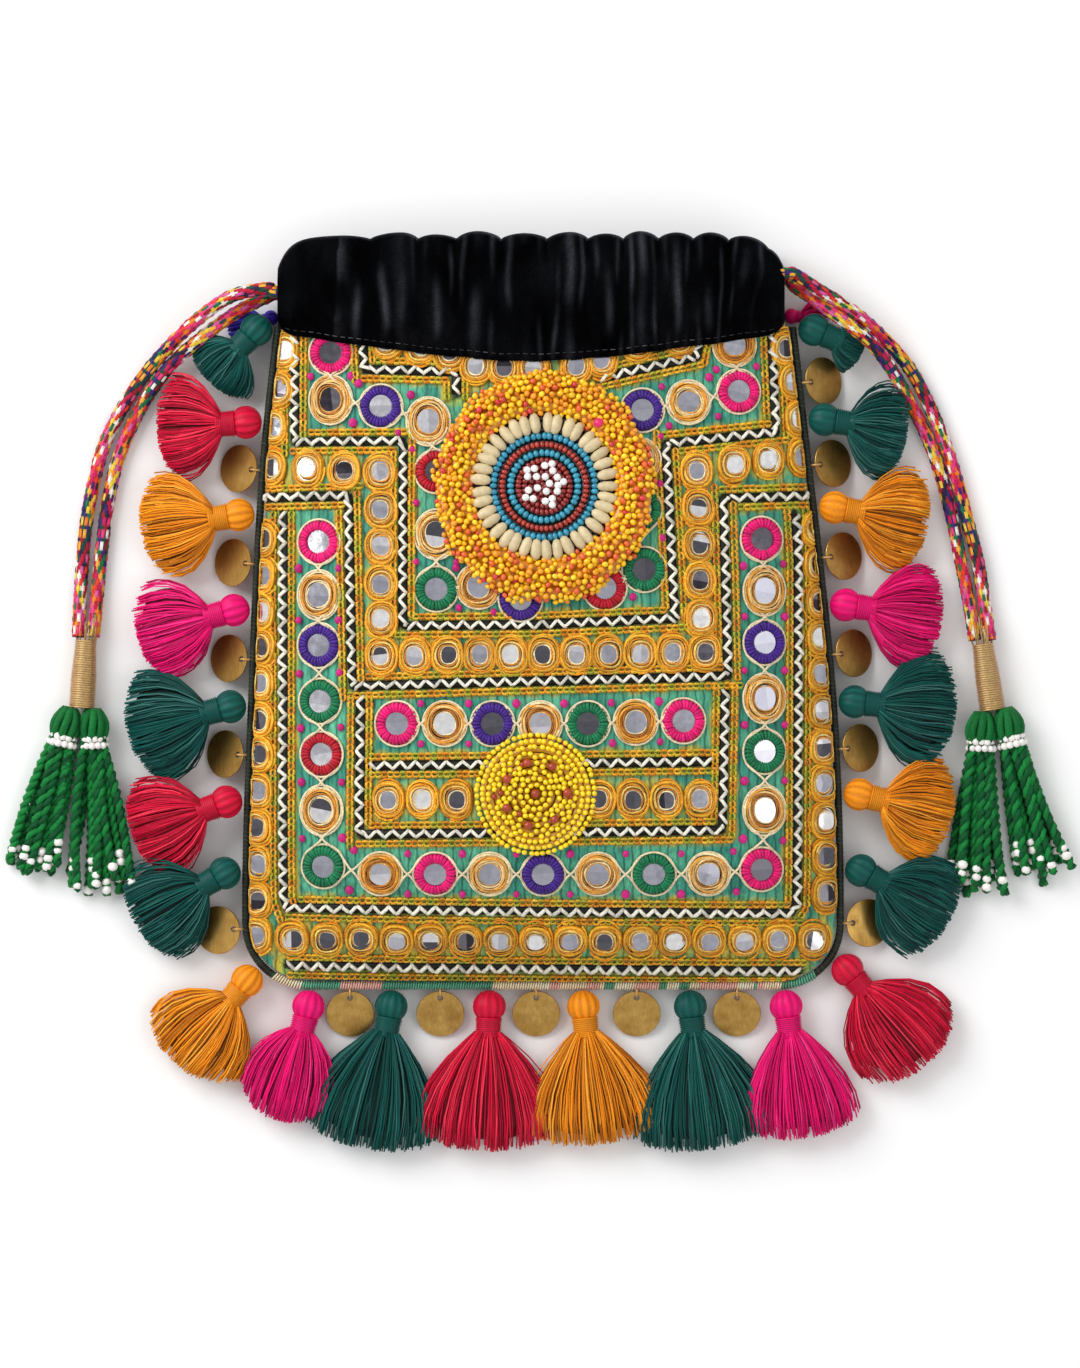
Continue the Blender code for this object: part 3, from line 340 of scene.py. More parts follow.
def stringRoute(side, front, back, up):
    form = casingForm
    y, half = form["panelTop"] + up, form["width"] / 2
    turnAt = half - form["turnInset"]
    shares = [side * (1 - 2 * k / 8 * (half + turnAt) / form["width"]) for k in range(9)]
    inside = [(form["shift"] + s * half, y, casingMiddle(s, "front")) for s in shares]
    last, end = inside[-1][0], shares[-1]
    low = casingMiddle(end, "back")
    bend = (casingMiddle(end, "front") - low) / 2
    for k in range(1, 6):
        angle = math.pi * k / 6
        inside.append((last - side * bend * math.sin(angle), y, low + bend * (1 + math.cos(angle))))
    inside += [(form["shift"] + s * half, y, casingMiddle(s, "back")) for s in reversed(shares)]
    return list(reversed(front)) + inside + back


def evenRoute(points, step):
    route = [Vector(p) for p in points]
    ends = [2 * route[0] - route[1], *route, 2 * route[-1] - route[-2]]
    fine = []
    for a, b, c, d in zip(ends, ends[1:], ends[2:], ends[3:]):
        for k in range(12):
            t = k / 12
            fine.append(0.5 * (2 * b + (c - a) * t + (2 * a - 5 * b + 4 * c - d) * t**2
                               + (3 * b - 3 * c + d - a) * t**3))
    fine = np.array(fine + [route[-1]])
    travel = np.concatenate([[0], np.cumsum(np.linalg.norm(np.diff(fine, axis=0), axis=1))])
    places = np.linspace(0, travel[-1], max(3, int(travel[-1] / step)))
    return np.stack([np.interp(places, travel, fine[:, k]) for k in range(3)], -1), travel[-1]


# frames that turn as little as they can along the path
def carriedFrames(path):
    way = np.gradient(path, axis=0)
    way /= np.linalg.norm(way, axis=1, keepdims=True)
    across = np.cross((0, 0, 1.0), way[0])
    across /= np.linalg.norm(across)
    sides = []
    for direction in way:
        across = across - direction * np.dot(across, direction)
        across /= np.linalg.norm(across)
        sides.append(across)
    sides = np.array(sides)
    return sides, np.cross(way, sides)


def makeBraid(name, route, finish, node):
    path, length = evenRoute(route, braid["ringStep"])
    across, over = carriedFrames(path)
    around = braid["cellsAround"] * braid["facesPerCell"]
    angles = circleAngles(around)
    along = np.arange(len(path)) * braid["ringStep"]
    u = (angles / (2 * math.pi) * braid["cellsAround"])[None, :]
    v = (along / braid["cellLength"])[:, None]
    first, second = u + v / 2, u - v / 2
    bump = np.abs(np.sin(math.pi * first)) * np.abs(np.sin(math.pi * second))
    radius = braid["diameter"] / 2 * (1 - braid["bulge"] + 1.6 * braid["bulge"] * bump)
    cosines, sines = np.cos(angles)[None, :, None], np.sin(angles)[None, :, None]
    ring = cosines * across[:, None] + sines * over[:, None]
    points = (path[:, None] + radius[..., None] * ring).reshape(-1, 3)
    caps = endCaps(len(path), around)
    mesh = bpy.data.meshes.new(name)
    mesh.from_pydata(points.tolist(), [], loftFaces(len(path), around).tolist() + caps)
    # each cell of the braid takes the colour of the strand that lies on top there
    middleU = ((np.arange(around) + 0.5) / braid["facesPerCell"])[None]
    middleV = ((np.arange(len(path) - 1) + 0.5) * braid["ringStep"] / braid["cellLength"])[:, None]
    firstU, secondU = middleU + middleV / 2, middleU - middleV / 2
    one, two = np.floor(firstU).astype(int), np.floor(secondU).astype(int)
    inks = np.array([ink(*c) for c in braid["strands"]])
    chosen = np.where((one + two) % 2 == 0, one * 3 % len(inks), (two * 5 + 4) % len(inks))
    # each cell is painted darker towards its edges: painted shade where the strands dip under each other
    low, span = braid["shade"]
    shade = low + span * np.sqrt(np.abs(np.sin(math.pi * firstU) * np.sin(math.pi * secondU)))
    tints = (inks[chosen] * shade[..., None]).reshape(-1, 3)
    corner = np.repeat(np.hstack([tints, np.ones((len(tints), 1))]), 4, axis=0)
    rest = np.tile([*braid["capInk"], 1], (len(caps) * 3, 1))
    colours = mesh.color_attributes.new("threadTint", "FLOAT_COLOR", "CORNER")
    colours.data.foreach_set("color", np.vstack([corner, rest]).ravel())
    mesh.shade_smooth()
    piece = dress(name, mesh, finish, replaced=(node,))
    return piece, path, length


braidFinish = threadFinish("braidedThread", 0.60, 0.06, 1900.0, 0.00015, 0.72, 1.12, specular=0.2)
leftRoute = stringRoute(-1, leftFront, leftBack, braid["leftUp"])
rightRoute = stringRoute(1, rightFront, rightBack, braid["rightUp"])
leftString, leftPath, leftLength = makeBraid(
    "drawstring_braid_left", leftRoute, braidFinish, "drawstring_left")
rightString, rightPath, rightLength = makeBraid(
    "drawstring_braid_right", rightRoute, braidFinish, "drawstring_right")
print("drawstrings braided:", round(leftLength, 3), round(rightLength, 3), "m")


# bindings: metallic thread wound round the string ends
binding = {
    "ends": {"left": ((-0.1649, 0.0001, 0.0053), (-0.1664, -0.0246, 0.0053)),
             "right": ((0.1586, -0.0013, 0.0053), (0.1622, -0.0254, 0.0053))},
    "startRadius": 0.0039, "endRadius": 0.0047, "windings": 30, "sides": 20,
    # rose and sideShadeShare: the colour and strength of the painted shade on the wrap's sides
    "thread": (205, 168, 110), "rose": (190, 110, 85), "sideShadeShare": 0.45, "looseEnds": 26,
    "looseRadius": 0.00022,
}


def frameAlong(start, end):
    way = np.subtract(end, start)
    length = np.linalg.norm(way)
    way = way / length
    across = np.cross((0, 0, 1.0), way)
    across /= np.linalg.norm(across)
    return length, np.array([across, np.cross(way, across), way])


def placed(shell, start, axes):
    return shell[0] @ axes + np.asarray(start), shell[1], shell[2]


def makeBinding(side, finish):
    chance = random.Random(f"binding {side}")
    start, end = binding["ends"][side]
    length, axes = frameAlong(start, end)
    bundle = Bundle()
    first, last = binding["startRadius"], binding["endRadius"]
    profile, tints = [(0.0012, 0.0)], []
    for k in range(binding["windings"]):
        for part, bulge in ((0.0, 0.90), (0.33, 1.0), (0.66, 1.0)):
            share = (k + part) / binding["windings"]
            wide = first + (last - first) * smoothStep(share * 1.6)
            profile.append((wide * bulge * (1 + chance.uniform(-0.015, 0.015)), length * share))
    profile.append((0.002, length))
    shell = lathe(profile, binding["sides"])
    gold, rose = ink(*binding["thread"]), ink(*binding["rose"])
    for k in range(len(profile)):
        # painted shade: the groove between windings is darker, and the rose tint on the sides is painted
        # shade where the wrap turns away
        low = 0.55 if k % 3 == 1 else 1.0
        for j in range(binding["sides"]):
            roseSideShade = binding["sideShadeShare"] * abs(math.cos(j * 2 * math.pi / binding["sides"])) ** 3
            mottle = 0.9 + 0.2 * noise.noise((k * 0.7, j * 0.2, 3))
            tints.append((gold * (1 - roseSideShade) + rose * roseSideShade) * low * mottle)
    bundle.add(placed(shell, start, axes), np.array(tints))
    for k in range(binding["looseEnds"]):
        angle, reach = chance.uniform(0, 2 * math.pi), chance.uniform(0.004, 0.010)
        base = np.array([math.cos(angle), math.sin(angle), 0]) * binding["startRadius"] * 0.8
        tip = base * chance.uniform(1.0, 1.5) + np.array([0, 0, -reach])
        line = np.array([base + [0, 0, 0.002], (base + tip) / 2 * [1.15, 1.15, 1], tip]) @ axes + start
        line[:, 2] = np.maximum(line[:, 2], 0.0004)
        bundle.add(tubeShell(line, binding["looseRadius"], 3), vary(chance, gold, 0.2))
    return bundle.build(f"binding_wrap_{side}", finish, "gold_thread", replaced=(f"binding_{side}",))


goldFinish = threadFinish("goldWrap", 0.38, 0.0, 1400.0, 0.0001, 0.70, 1.18, 0.35)
bindings = {side: makeBinding(side, goldFinish) for side in ("left", "right")}
print("bindings wound")


# green tassels: a ball of loops, two rows of white beads, twisted cords with a bead near each end
greenTassels = {
    "cords": 12, "cordRadius": 0.00112, "plyOut": 0.00092, "twist": 0.0066, "steps": 34, "sides": 5,
    "ballRadius": 0.0050, "loops": 9, "loopRadius": 0.00155, "beadRadius": 0.0014, "endBeadRadius": 0.00185,
    "beadStep": 0.0030, "rowStep": 0.0024, "headZ": 0.0062, "footZ": 0.0058, "levelStep": 0.0022,
    "lowest": 0.0019, "green": (18, 126, 56), "deepGreen": (4, 70, 34), "white": (240, 236, 232),
    # name: (start, left and right end of the foot and its height in pixels, beads in a row)
    "rows": {"cord_tassel_left_outer": ((-0.1706, -0.0247), (1, 62), 874, 12),
             "cord_tassel_left_inner": ((-0.1624, -0.0252), (60, 138), 892, 13),
             "cord_tassel_right_inner": ((0.1582, -0.0262), (948, 1010), 894, 12),
             "cord_tassel_right_outer": ((0.1664, -0.0250), (1012, 1077), 878, 12)},
}


def makeGreenTassel(node, spec, cordFinish, whiteFinish):
    form = greenTassels
    chance = random.Random(node)
    (startX, startY), (leftPixel, rightPixel), footPixel, collarBeads = spec
    start = np.array([startX, startY, form["headZ"]])
    footX, footY = fromPixel((leftPixel + rightPixel) / 2, footPixel)
    end = np.array([footX, footY, form["footZ"]])
    _, axes = frameAlong(start, end)
    bundle, beads = Bundle(), Bundle()
    light, deep, white = ink(*form["green"]), ink(*form["deepGreen"]), ink(*form["white"])
    radius = form["ballRadius"]
    # loops of cord bent over the head
    for k in range(form["loops"]):
        angle = math.pi * 2 * k / form["loops"]
        line = []
        for j in range(7):
            t = j / 6
            wide = radius * math.sin(math.pi * (0.12 + 0.62 * t)) * 0.92
            turn = angle + 0.35 * t
            line.append((math.cos(turn) * wide, math.sin(turn) * wide, 0.0002 + 2.05 * radius * t))
        bundle.add(tubeShell(np.array(line) @ axes + start, form["loopRadius"], 6, up=(0.1, 0.2, 1)),
                   vary(chance, deep + (light - deep) * 0.6, 0.2))
    # a dark ball fills the head: painted shade inside the loops
    filling = ballShell(smallBall, (0, 0, radius), np.eye(3) * radius * 0.85)
    bundle.add(placed(filling, start, axes), deep * 0.5)
    collar = 2.1 * radius
    for row in range(2):
        for k in range(collarBeads):
            angle = 2 * math.pi * (k + 0.5 * row) / collarBeads
            wide = radius * (0.78 + 0.12 * row)
            out = np.array([math.cos(angle) * wide, math.sin(angle) * wide, collar + row * form["rowStep"]])
            size = form["beadRadius"] * chance.uniform(0.88, 1.08)
            beads.add(ballShell(beadBall, out @ axes + start, np.eye(3) * size), vary(chance, white, 0.05))
    # twisted cords fan out on the floor below the collar
    count = form["cords"]
    leftX = fromPixel(leftPixel, footPixel)[0] + 0.0012
    rightX = fromPixel(rightPixel, footPixel)[0] - 0.0012
    for k in range(count):
        share = (k + 0.5) / count
        level = k % 3
        angle = math.pi * (share - 0.5) * 1.5
        begin = np.array([math.sin(angle) * radius * 0.62, (level - 1) * radius * 0.4,
                          collar - 0.001]) @ axes + start
        reach = 1 + chance.uniform(-0.07, 0.05) - 0.10 * abs(share - 0.5)
        tip = np.array([leftX + (rightX - leftX) * share + chance.uniform(-0.0012, 0.0012),
                        startY + (footY - startY) * reach, 0.0020 + form["levelStep"] * level])
        if axes[0][0] < 0:
            begin[0] = 2 * (start + axes[2] * collar)[0] - begin[0]
        bend = np.array([chance.uniform(-0.0022, 0.0022), 0, 0.0006])
        t = np.linspace(0, 1, form["steps"])[:, None]
        droop = begin * (1 - t) + tip * t + bend * np.sin(math.pi * t)
        sunk = (1 - t[:, 0]) ** 1.6
        droop[:, 2] = np.maximum(begin[2] * sunk + tip[2] * (1 - sunk), form["lowest"])
        run = np.linalg.norm(tip - begin)
        phase = 2 * math.pi * t[:, 0] * run / form["twist"] + chance.uniform(0, 6)
        flatWay = (tip - begin) / run
        sideways = np.cross((0, 0, 1.0), flatWay)
        for ply in range(2):
            turn = phase + math.pi * ply
            off = np.cos(turn)[:, None] * sideways + np.sin(turn)[:, None] * np.array([0, 0, 1.0])
            line = droop + form["plyOut"] * off
            tint = vary(chance, light if (k + ply) % 3 else deep * 1.4, 0.15)
            bundle.add(tubeShell(line, form["cordRadius"], form["sides"]), tint)
        beadAt = droop[-2 - chance.randrange(4)] + [0, 0, 0.0004]
        for row in range(chance.choice((1, 1, 2))):
            spot = beadAt - flatWay * form["beadStep"] * row
            wide = form["endBeadRadius"] * chance.uniform(0.85, 1.12)
            beads.add(ballShell(beadBall, spot, np.diag([wide, wide * 0.92, wide])),
                      vary(chance, white, 0.05))
    cordPiece = bundle.build(f"{node}_cords", cordFinish, "green_cord", replaced=(node,))
    beadPiece = beads.build(f"{node}_beads", whiteFinish, "bone_beads")
    return cordPiece, beadPiece


greenFinish = threadFinish("greenCord", 0.6, 0.06, 1700.0, 0.00018, 0.60, 1.12, specular=0.15)
whiteFinish = beadFinish("whiteBeads", 0.30, 0.3)
hanging = {"left": [], "right": []}
for node, spec in greenTassels["rows"].items():
    hanging["left" if "left" in node else "right"] += makeGreenTassel(node, spec, greenFinish, whiteFinish)
print("green tassels twisted")


# the pouch: the same swell as its solid
pouch = {"width": 0.2104, "topY": 0.1125, "length": 0.2350, "narrowing": 0.0145, "lean": -0.0028,
         "corner": 0.0200, "seamSide": 0.0125, "seamFoot": 0.0068, "seamRise": 0.0588, "puff": 0.0270,
         "puffMouth": 0.0125, "footRun": 0.0720, "mouthRun": 0.0893, "piping": 0.0032, "gap": 0.0003}
bottomY = pouch["topY"] - pouch["length"]


def halfWidth(y):
    share = np.clip((y - bottomY - pouch["corner"]) / (pouch["length"] - pouch["corner"]), 0, None)
    wide = pouch["width"] / 2 - pouch["narrowing"] * share**1.8
    drop = np.clip(pouch["corner"] - (y - bottomY), 0, pouch["corner"])
    return wide - (pouch["corner"] - np.sqrt(pouch["corner"] ** 2 - drop**2))


def middleX(y):
    return pouch["lean"] * smoothStep((y - bottomY) / pouch["length"] * 1.8 - 0.6)


def seamHeight(y):
    rise = smoothStep((y - bottomY) / pouch["seamRise"])
    return pouch["seamFoot"] + (pouch["seamSide"] - pouch["seamFoot"]) * rise


def frontHeight(x, y):
    u = np.clip(np.abs((x - middleX(y)) / halfWidth(y)), 0, 1)
    w = np.clip(1 - (y - bottomY) / pouch["footRun"], 0, 1)
    nearMouth = smoothStep((y - (pouch["topY"] - pouch["mouthRun"])) / pouch["mouthRun"])
    puff = pouch["puff"] + (pouch["puffMouth"] - pouch["puff"]) * nearMouth
    return seamHeight(y) + puff * ((1 - u**2.8) * (1 - w**2.6)) ** 0.75


def frontSlope(x, y, step=0.0012):
    return ((frontHeight(x + step, y) - frontHeight(x - step, y)) / (2 * step),
            (frontHeight(x, y + step) - frontHeight(x, y - step)) / (2 * step))


def onFront(x, y, lift):
    x, y = np.asarray(x, float), np.clip(np.asarray(y, float), bottomY + 0.0002, None)
    limit = halfWidth(y) * 0.995
    x = middleX(y) + np.clip(x - middleX(y), -limit, limit)
    slopeX, slopeY = frontSlope(x, y)
    slopeX, slopeY = np.clip(slopeX, -1.6, 1.6), np.clip(slopeY, -1.6, 1.6)
    normal = np.stack([-slopeX, -slopeY, np.ones_like(x)], -1)
    normal /= np.linalg.norm(normal, axis=-1, keepdims=True)
    at = np.stack([x, y, frontHeight(x, y)], -1)
    return at + normal * np.asarray(lift)[..., None], normal


# lines of the pattern, in millimetres on the panel: a black band with a cream zigzag,
# a line of chain stitch on both sides of it
bands = {
    "lines": [
        [(-89, 112), (-89, 71), (-50, 71), (-50, 5), (-1, 5.4), (47, 7.6), (43.9, 70), (83.5, 74.6),
         (82, 112)],
        [(-65, 112), (-64, 97), (-31, 96), (-31, 88)],
        [(57, 112), (55, 101.5), (20.5, 93.6)],
        [(-104, 51), (-69.5, 51.5), (-68, -16.6), (66, -13), (64.4, 50.4), (98, 52)],
        [(-93, 46), (-93, -93), (-92, -96), (89, -98), (91, -95), (91.4, 29), (90.4, 45)],
        [(-65, -20), (-65.5, -69.5), (64, -68), (65, -18)],
        [(-62, -45), (60, -43.5)],
        [(-92, -117), (92.5, -119)],
    ],
    "period": 0.0056, "swing": 0.00125, "slack": 0.00030, "threadRadius": 0.00073,
    "ribbonHalfWidth": 0.0022, "dips": (0.0001, 0.0003, 0.0006), "shades": (0.72, 0.92, 1.02, 1.06, 1.1),
    "chainOffset": 0.0033, "linkLength": 0.0022, "linkWidth": 0.0021, "chainRadius": 0.00056,
    "cream": (236, 232, 216), "black": (16, 20, 16),
    "chainInks": [(232, 160, 26), (206, 182, 40), (238, 176, 40), (226, 140, 20), (176, 176, 46),
                  (240, 190, 50)],
}
lines = [np.array(line) / 1000 for line in bands["lines"]]


def offsetLine(line, distance):
    ways = np.diff(line, axis=0)
    ways /= np.linalg.norm(ways, axis=1, keepdims=True)
    sides = np.stack([-ways[:, 1], ways[:, 0]], -1)
    moved = [line[0] + sides[0] * distance]
    for k in range(1, len(line) - 1):
        both = sides[k - 1] + sides[k]
        moved.append(line[k] + both * distance * 2 / max(np.dot(both, both), 0.5))
    moved.append(line[-1] + sides[-1] * distance)
    return np.array(moved)


def walkLine(line, step):
    lengths = np.linalg.norm(np.diff(line, axis=0), axis=1)
    travel = np.concatenate([[0], np.cumsum(lengths)])
    count = max(2, int(round(travel[-1] / step)) + 1)
    places = np.linspace(0, travel[-1], count)
    at = np.stack([np.interp(places, travel, line[:, k]) for k in range(2)], -1)
    index = np.clip(np.searchsorted(travel, places, "right") - 1, 0, len(lengths) - 1)
    return at, (np.diff(line, axis=0) / lengths[:, None])[index]


# distance from each place to the nearest band
def nearLines(x, y):
    best = np.full(np.shape(x), 1.0)
    for line in lines:
        for a, b in zip(line, line[1:]):
            way = b - a
            share = np.clip(((x - a[0]) * way[0] + (y - a[1]) * way[1]) / np.dot(way, way), 0, 1)
            best = np.minimum(best, np.hypot(x - a[0] - share * way[0], y - a[1] - share * way[1]))
    return best


# ground cloth of teal satin stitches, lime beside the bands
groundCloth = {
    "columns": 193, "rows": 211, "thickness": 0.0012, "innerStep": 6, "blockWidth": 0.0032,
    "teal": (84, 168, 136), "deepTeal": (48, 136, 118), "lime": (142, 188, 98), "olive": (186, 164, 50),
    "black": (16, 20, 16), "limeReach": 0.0058, "ringReach": 0.0092, "bandReach": 0.0022,
}


# a sheet through a grid of points
def gridShell(points):
    rows, columns = points.shape[:2]
    corner = np.arange(rows - 1)[:, None] * columns + np.arange(columns - 1)
    quads = np.stack([corner, corner + 1, corner + columns + 1, corner + columns], -1).reshape(-1, 4)
    return points.reshape(-1, 3), quads, []


def makeGround():
    form = groundCloth
    shares = np.linspace(-1, 1, form["columns"])
    shares = np.sign(shares) * np.abs(np.sin(shares * math.pi / 2)) ** 0.92
    heights = bottomY + pouch["length"] * np.linspace(0, 1, form["rows"])
    y = np.repeat(heights[:, None], form["columns"], 1)
    x = middleX(y) + shares[None] * halfWidth(y)
    z = frontHeight(x, y)
    away = nearLines(x, y)

    def clouds(scaleX, scaleY, seed):
        made = [noise.noise((a * scaleX, b * scaleY, seed)) for a, b in zip(x.ravel(), y.ravel())]
        return np.array(made).reshape(x.shape)

    speckle, patch = clouds(260, 90, 0.5), clouds(70, 70, 4.5)
    teal, deep, lime, olive, black = (ink(*form[key])
                                      for key in ("teal", "deepTeal", "lime", "olive", "black"))
    tint = teal + (deep - teal) * smoothStep(0.5 + 1.2 * patch)[..., None]
    nearSmall = np.full(x.shape, 1.0)
    for px, py in smallPlaces():
        nearSmall = np.minimum(nearSmall, np.hypot(x - px, y - py))
    besideBand = smoothStep((form["limeReach"] - away + 0.0016 * speckle) / 0.0020)
    besideRing = smoothStep((form["ringReach"] - nearSmall + 0.003 * speckle) / 0.0022) * 0.85
    beside = np.maximum(besideBand, besideRing)[..., None]
    tint = tint * (1 - beside) + (lime + (olive - lime) * smoothStep(0.5 + speckle)[..., None]) * beside
    within = smoothStep((form["bandReach"] - away) / 0.0007)[..., None]
    tint = tint * (1 - within) + black * within
    tint = tint * (1 + 0.25 * speckle[..., None])
    bundle = Bundle()
    points = np.stack([x, y, z], -1)
    bundle.add(gridShell(points), tint.reshape(-1, 3))
    # a plain coarser sheet closes the cloth inside, a strip closes its rim
    down, step = np.array([0, 0, form["thickness"]]), form["innerStep"]
    bundle.add(gridShell((points[::step, ::step] - down)[:, ::-1]), teal * 0.5)
    rim = np.vstack([points[0], points[1:, -1], points[-1, -2::-1], points[-2::-1, 0]])
    bundle.add(gridShell(np.stack([rim - down, rim])), teal * 0.5)
    return bundle.build("embroidered_ground", groundFinish(), "embroidery", replaced=("front_panel",))


# fine streaks of thread, and dark seams between the blocks of satin stitch
def groundFinish():
    finish, tree, shader = startFinish("satinGround", 0.6, sheen=0.25, specular=0.3)
    streaks = noiseNode(tree, placeNode(tree, (1.0, 0.16, 1.0)), 1300.0, 3.0, 0.6)
    rows = tree.nodes.new("ShaderNodeTexWave")
    rows.inputs["Scale"].default_value = 0.314 / groundCloth["blockWidth"]
    rows.inputs["Distortion"].default_value = 2.2
    rows.inputs["Detail"].default_value = 1.0
    rows.inputs["Detail Scale"].default_value = 2.0
    tree.links.new(placeNode(tree, (1, 1, 1)), rows.inputs["Vector"])
    blocks = rows.outputs["Color"]
    shade = rampNode(tree, streaks, [(0.30, (0.55,) * 3), (0.52, (1.0,) * 3), (0.72, (1.3,) * 3)])
    colour = blendNode(tree, "MULTIPLY", tintNode(tree), shade)
    shade = rampNode(tree, blocks,
                     [(0.02, (0.42, 0.50, 0.50)), (0.20, (1.0, 1.0, 1.0)), (0.80, (1.10, 1.08, 1.02))])
    tree.links.new(blendNode(tree, "MULTIPLY", colour, shade), shader.inputs["Base Color"])
    bumpNode(tree, shader, streaks, 0.0004, 0.8)
    return finish


stitchFinish = threadFinish("stitchThread", 0.5, 0.08, 1500.0, 0.00014, 0.66, 1.20)


rosettePlace, buttonPlace = (0.0004, 0.0542), (-0.0027, -0.0549)  # middles of the two medallions


# the velvet's lower edge over the panel
def hemHeight(x):
    share = np.clip(np.abs((x - casingForm["shift"]) / (casingForm["width"] / 2)), 0, 1)
    return pouch["topY"] - 0.0028 - 0.0100 * (1 - share**1.6) ** 1.2


# false where the velvet or a medallion would hide it
def shown(x, y, margin=0.004):
    if y > hemHeight(x) + margin:
        return False
    if math.hypot(x - rosettePlace[0], (y - rosettePlace[1]) * 0.94) < 0.036 - margin:
        return False
    return math.hypot(x - buttonPlace[0], y - buttonPlace[1]) > 0.020 - margin


# true where a mirror leaves no room for a chain stitch
def onMirror(x, y):
    large = [(px / 1000, py / 1000) for px, py, _ in largeMirrors["places"]]
    return (any(math.hypot(x - px, y - py) < largeMirrors["keepOff"] for px, py in large)
            or any(math.hypot(x - px, y - py) < smallMirrors["keepOff"] for px, py in smallPlaces()))


def makeBands():
    chance = random.Random("bands")
    threads, chains = Bundle(), Bundle()
    cream, black = ink(*bands["cream"]), ink(*bands["black"])
    chainInks = [ink(*c) for c in bands["chainInks"]]
    for line in lines:
        at, way = walkLine(line, bands["ribbonHalfWidth"])
        points, normals = onFront(at[:, 0], at[:, 1], 0.00015)
        threads.add(tubeShell(points, bands["ribbonHalfWidth"], 4, up=normals, flat=0.18), black)
        at, way = walkLine(line, bands["period"] / 2)
        for k in range(len(at) - 1):
            (ax, ay), (bx, by) = at[k], at[k + 1]
            across, sign = np.array([-way[k][1], way[k][0]]), 1 if k % 2 else -1
            slack = [chance.uniform(-bands["slack"], bands["slack"]) for _ in range(4)]
            spread = sign * bands["swing"] * np.array([-1.1, -0.55, 0.55, 1.1]) + slack
            dip = chance.choice(bands["dips"])
            along = np.array([-0.06, 0.24, 0.76, 1.06])[:, None]
            flat = np.array([ax, ay]) * (1 - along) + np.array([bx, by]) * along + across * spread[:, None]
            lift = np.array([dip, 0.0012, 0.0012, dip]) + 0.00025 * sign
            points, normals = onFront(flat[:, 0], flat[:, 1], lift)
            radius = bands["threadRadius"] * np.array([0.8, 1.05, 1.05, 0.8])
            threads.add(tubeShell(points, radius, 4, up=normals), cream * chance.choice(bands["shades"]))
        for sign in (-1, 1):
            at, way = walkLine(offsetLine(line, sign * bands["chainOffset"]), bands["linkLength"])
            shift = chance.randrange(9)
            for k, ((px, py), (dx, dy)) in enumerate(zip(at, way)):
                if not shown(px, py, 0.003) or onMirror(px, py):
                    continue
                mixed = int(2.2 * (k + shift) + 3 * noise.noise((px * 60, py * 60, 2)))
                tint = chainInks[mixed % len(chainInks)]
                for lobe in (-1, 1):
                    along = np.array([-0.1, 0.25, 0.75, 1.25]) * bands["linkLength"]
                    out = lobe * np.array([0.05, 0.42, 0.40, 0.02]) * bands["linkWidth"]
                    out = out + chance.uniform(-0.0001, 0.0001)
                    points, normals = onFront(px + dx * along - dy * out, py + dy * along + dx * out,
                                              np.array([0.0004, 0.0009, 0.0009, 0.0003]))
                    radius = bands["chainRadius"] * np.array([0.75, 1.15, 1.15, 0.65])
                    chains.add(tubeShell(points, radius, 3, up=normals), vary(chance, tint, 0.18))
    threads.build("zigzag_bands", stitchFinish, "embroidery", replaced=("front_panel",))
    chains.build("chain_stitches", stitchFinish, "embroidery", replaced=("front_panel",))


# mirrors: places in millimetres; rows are (start, end, how many)
smallMirrors = {
    "rows": [((-100, 36), (-102.5, -106), 12), ((-90, -107), (97, -107.5), 16),
             ((98, 40), (101.5, -91), 11), ((-97, 62), (-58, 59.5), 4), ((-57.8, 46.4), (-57.5, -6), 5),
             ((-45.5, -5.8), (57.5, -4.5), 10), ((56.2, 7.8), (54.8, 60.2), 5), ((68, 62.6), (93, 66), 3),
             ((-55, -57), (-31, -57), 3), ((20, -57), (56, -57), 4)],
    "single": [(-93, 104), (-95, 90), (-96.5, 76.5), (87, 105), (90, 93), (92, 79.5), (-56, 107),
               (-44, 105), (-33.5, 102.6), (-24, 98), (-14, 97), (-3.6, 97), (12, 98), (21, 100),
               (33.5, 106), (49, 108)],
    "plateRadius": 0.0040,
    # the fifth strand's darker orange-brown is painted shade for the gap between the cream strands
    "loops": [(0.0059, (240, 152, 20)), (0.0054, (252, 184, 44)), (0.0048, (240, 156, 30)),
              (0.0042, (254, 214, 112)), (0.0036, (226, 146, 46)), (0.0031, (255, 234, 184))],
    "threadRadius": 0.00053, "lean": 0.0005, "steps": 18, "tall": 1.13, "tieRadius": 0.00045,
    "tieOut": 0.0061, "keepOff": 0.0046,
}
